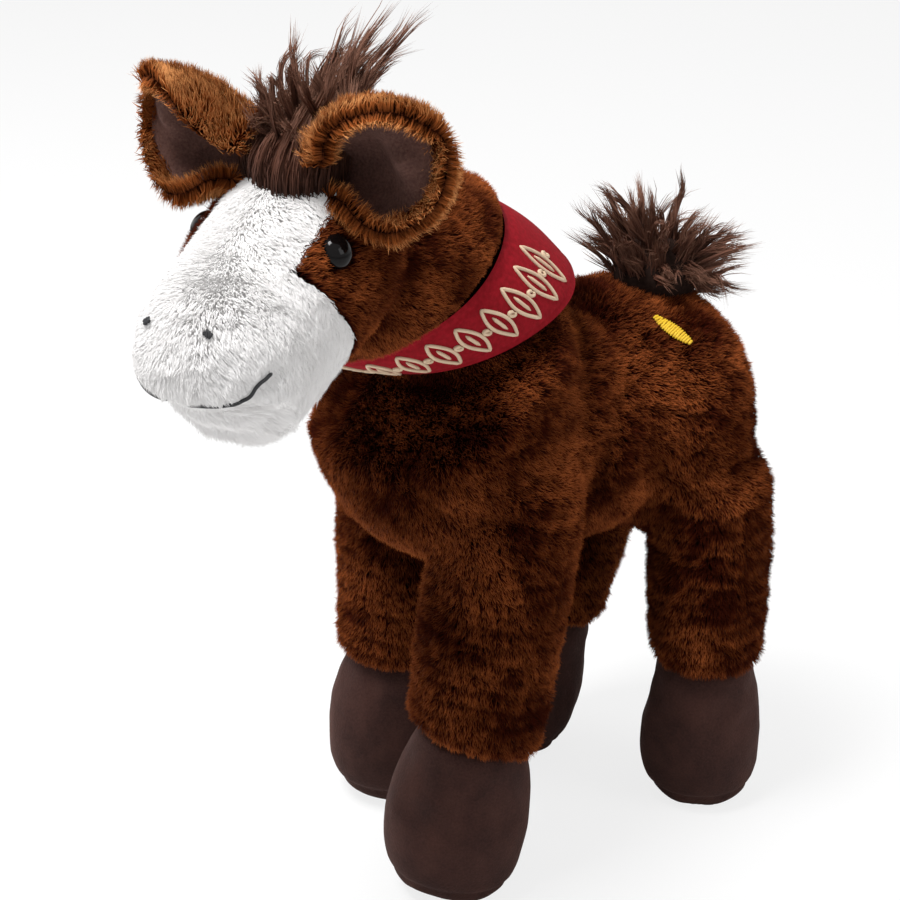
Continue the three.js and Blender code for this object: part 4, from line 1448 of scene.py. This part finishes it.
def wisps(tips, place, foot_of, bends, seed):
    """Thin curved wisps, a few to each tip."""
    chance = np.random.default_rng(seed)
    guides = []
    for tip in np.repeat(np.array(tips, float), WISPS_PER_TIP, axis=0):
        reach = tip * (0.84 + 0.26 * chance.random()) + chance.normal(0, 2.6, 3)
        foot = foot_of(tip) + chance.normal(0, 2.5, 3)
        bend = foot + (reach - foot) * 0.45 + bends + chance.normal(0, 4, 3)
        guides.append([place(p) for p in (foot, bend, reach)])
    return guides


def tuft(part, body_name, guides, spread, wisp_guides, seed, padding):
    """A tuft of hair: its locks, its loose wisps, and the pad that they are sewn to."""
    for name, lines, breadth, hairs, curl in (
        ("hair", guides, spread, HAIRS_PER_LOCK, 0.0),
        ("wisps", wisp_guides, WISP_SPREAD, WISP_HAIRS, WISP_CURL),
    ):
        thing = locks(f"{part}_{name}", lines, seed, breadth, hairs, curl)
        riding(thing, body_name)
    thing = mesh_object(f"{part}_pad", *padding, MANE_BACKING)
    riding(thing, body_name, [part])


# Forelock: hair sewn down along the forehead, combed back over the crown into loose wisps
FORELOCK_EDGE = [(4, 27, -16), (9, 27.5, -12), (13, 27.8, -6), (16, 27.6, 0), (17, 27, 4.9), (15, 26.5, 8.5),
                 (11.8, 26.3, 11.2), (6.9, 25.8, 13.4), (0, 25.6, 14), (-7, 25, 12)]
FORELOCK_TIPS = [
    (-41, 59, 4), (-49, 53, -6), (-58, 48, 3), (-30, 56, 9), (-9, 60, -5), (-1, 63, 5), (5, 58, -2),
    (13, 54, -4), (-36, 46, 10), (-22, 52, -12), (8, 50, -14), (-45, 44, -12), (-18, 57, 8),
    (-4, 50, -18), (-30, 44, 2),
]
FORELOCK_GUIDES = 72
FORELOCK_PAD = axes(head_place(1, 26, 0), UP - 0.25 * AHEAD, LEFT)


def forelock():
    """Guides from the sewn edge over the crown to the tips."""
    chance = np.random.default_rng(71)
    edge, tips = route(FORELOCK_EDGE, 200), np.array(FORELOCK_TIPS, float)
    guides = []
    for k in range(FORELOCK_GUIDES):
        foot = edge[int((k + 0.5) / FORELOCK_GUIDES * len(edge))]
        foot = foot + [-2.2 * (k % 3), -1.5, 0] + chance.normal(0, 0.6, 3)
        out = foot - [2, 28, 1]
        bend = foot + 0.3 * out + [-1, 13 + 2 * chance.random(), 0]
        crown = np.array([-16, 42, 1.0]) + 0.25 * out * [0, 0, 1] + chance.normal(0, 3, 3)
        tip = tips[chance.integers(len(tips))] * [0.8, 0.84, 0.8] + chance.normal(0, 2.5, 3)
        guides.append([head_place(*p) for p in (foot, bend, tip if k % 8 == 0 else crown)])
    return guides


def forelock_wisps():
    """Wisps of the forelock, from the crown to each tip."""
    def foot_of(tip):
        return np.array([np.clip(0.3 * tip[0], -14, 5), 34, 0.5 * tip[2]])

    return wisps(FORELOCK_TIPS, lambda p: head_place(*p), foot_of, np.array([1.0, 5.0, 0.0]), 75)


tuft("forelock", "head", forelock(), 2.6, forelock_wisps(), 73, pad(FORELOCK_PAD, (13, 14, 11)))

# Tail: a short spiky tuft that stands on the rump
TAIL_POINT = np.array([0.0, 42.0, 196.0])
TAIL_TIPS = [
    (-28, 31, 3), (-22, 34, -8), (-10, 33, 6), (0, 30, -12), (17, 20, 5), (40, -1, 2), (34, 4, -9),
    (26, -12, 6), (-14, 27, 20), (4, 24, 22), (22, 12, 20), (-12, 26, -22), (8, 24, -22), (26, 10, -20),
    (-26, 18, 12), (-24, 16, -14), (14, 2, 27), (30, -8, 14), (14, 2, -27), (30, -6, -14), (-12, 8, 26),
    (-12, 8, -26), (34, 14, 8), (10, 34, 2),
]
TAIL_GUIDES = 44


def tail():
    """Guides that spread from the rump: one to each tip and some between two tips."""
    chance = np.random.default_rng(83)
    tips = np.array(TAIL_TIPS, float)[:, [2, 0, 1]]
    more = [(tips[a] + (tips[b] - tips[a]) * chance.random()) + chance.normal(0, 3, 3)
            for a, b in chance.integers(0, len(tips), (TAIL_GUIDES, 2))]
    guides = []
    for tip in [*tips, *more]:
        tip = 0.72 * tip
        foot = np.array([0.3 * tip[0], 0.3 * tip[1], -4])
        bend = foot + np.array([0.35 * tip[0], 0.35 * tip[1], 9 + 9 * chance.random()])
        guides.append([TAIL_POINT + p for p in (foot, bend, tip)])
    return guides


def tail_wisps():
    """Wisps of the tail."""
    tips = np.array(TAIL_TIPS)[:, [2, 0, 1]]
    return wisps(tips, lambda p: TAIL_POINT + p, lambda tip: 0.3 * tip, np.array([0.0, 0.0, 3.0]), 85)


tuft("tail", "tail", tail(), 4.0, tail_wisps(), 89, pad((np.eye(3), TAIL_POINT), (15, 15, 13)))

# Camera, light and floor
CAMERA_TARGET = np.array([-17.7, -32.4, 139.8])
CAMERA_AZIMUTH, CAMERA_ELEVATION, CAMERA_DISTANCE = 58, 24, 0.735
CAMERA_LENS, SENSOR_WIDTH = 83.29, 36
LAMP_TARGET = Vector((0, 0, 0.15))
ROOM_LIGHT = 0.37
FLOOR_HALF, FLOOR_GLOW = 3.0, 0.8


def aimed(thing, place, direction):
    """Puts a camera or a lamp in place and turns it in a direction."""
    thing.location = place
    thing.rotation_euler = direction.to_track_quat("-Z", "Y").to_euler()


def camera():
    """The photograph's view: from the left front, looking down a little."""
    data = bpy.data.cameras.new("camera")
    data.lens = CAMERA_LENS
    data.sensor_width = SENSOR_WIDTH
    target = Vector(((CAMERA_TARGET + SHIFT) / 1000).tolist())
    across, ahead = wave(CAMERA_AZIMUTH)
    up, level = wave(CAMERA_ELEVATION)
    back = Vector((across * level, -ahead * level, up))
    thing = placed("camera", data)
    aimed(thing, target + back * CAMERA_DISTANCE, -back)
    bpy.context.scene.camera = thing


def lamp(name, place, size, power):
    """A square soft lamp that faces the toy."""
    data = bpy.data.lights.new(name, "AREA")
    data.size = size
    data.energy = power
    aimed(placed(name, data), place, LAMP_TARGET - Vector(place))


def room(strength):
    """Plain white light all round, and a white background."""
    world = bpy.data.worlds.new("room")
    bpy.context.scene.world = world
    world.use_nodes = True
    nodes = Nodes(world.node_tree)
    path = nodes.node("ShaderNodeLightPath")
    seen, glossy, through = (path.output(f"Is {ray} Ray") for ray in ("Camera", "Glossy", "Transmission"))
    seen = path.sum("MAXIMUM", path.sum("MAXIMUM", seen, glossy), through)
    level = nodes.node("ShaderNodeMapRange", inputs={"Value": seen, "To Min": strength, "To Max": 1})
    nodes.put(world.node_tree.nodes["Background"], {"Color": (1, 1, 1, 1), "Strength": level})


def floor():
    """A pale floor that keeps the toy's shadow."""
    mesh = bpy.data.meshes.new("floor")
    corners = [(x * FLOOR_HALF, y * FLOOR_HALF, 0) for x, y in ((-1, -1), (1, -1), (1, 1), (-1, 1))]
    mesh.from_pydata(corners, [], [(0, 1, 2, 3)])
    finish = Finish("pale_floor", Base_Color=(0.9, 0.9, 0.9, 1), Roughness=0.9)
    path = finish.node("ShaderNodeLightPath")
    glow = finish.node("ShaderNodeEmission", inputs={"Color": (1, 1, 1, 1), "Strength": 1.0})
    plain = Link(finish, finish.shader.outputs[0])
    mixed = finish.node("ShaderNodeMixShader", inputs={0: FLOOR_GLOW * path, 1: plain, 2: glow})
    finish.put(finish.tree.nodes["Material Output"], {"Surface": mixed})
    mesh.materials.append(finish.material)
    placed("floor", mesh)


camera()
lamp("key", (-0.05, -0.45, 1.4), 0.5, 25)
lamp("fill", (-0.9, -0.5, 0.6), 0.9, 3)
lamp("side", (0.9, 0.6, 0.7), 0.6, 3)
room(ROOM_LIGHT)
floor()
bpy.context.scene.view_settings.view_transform = "Standard"
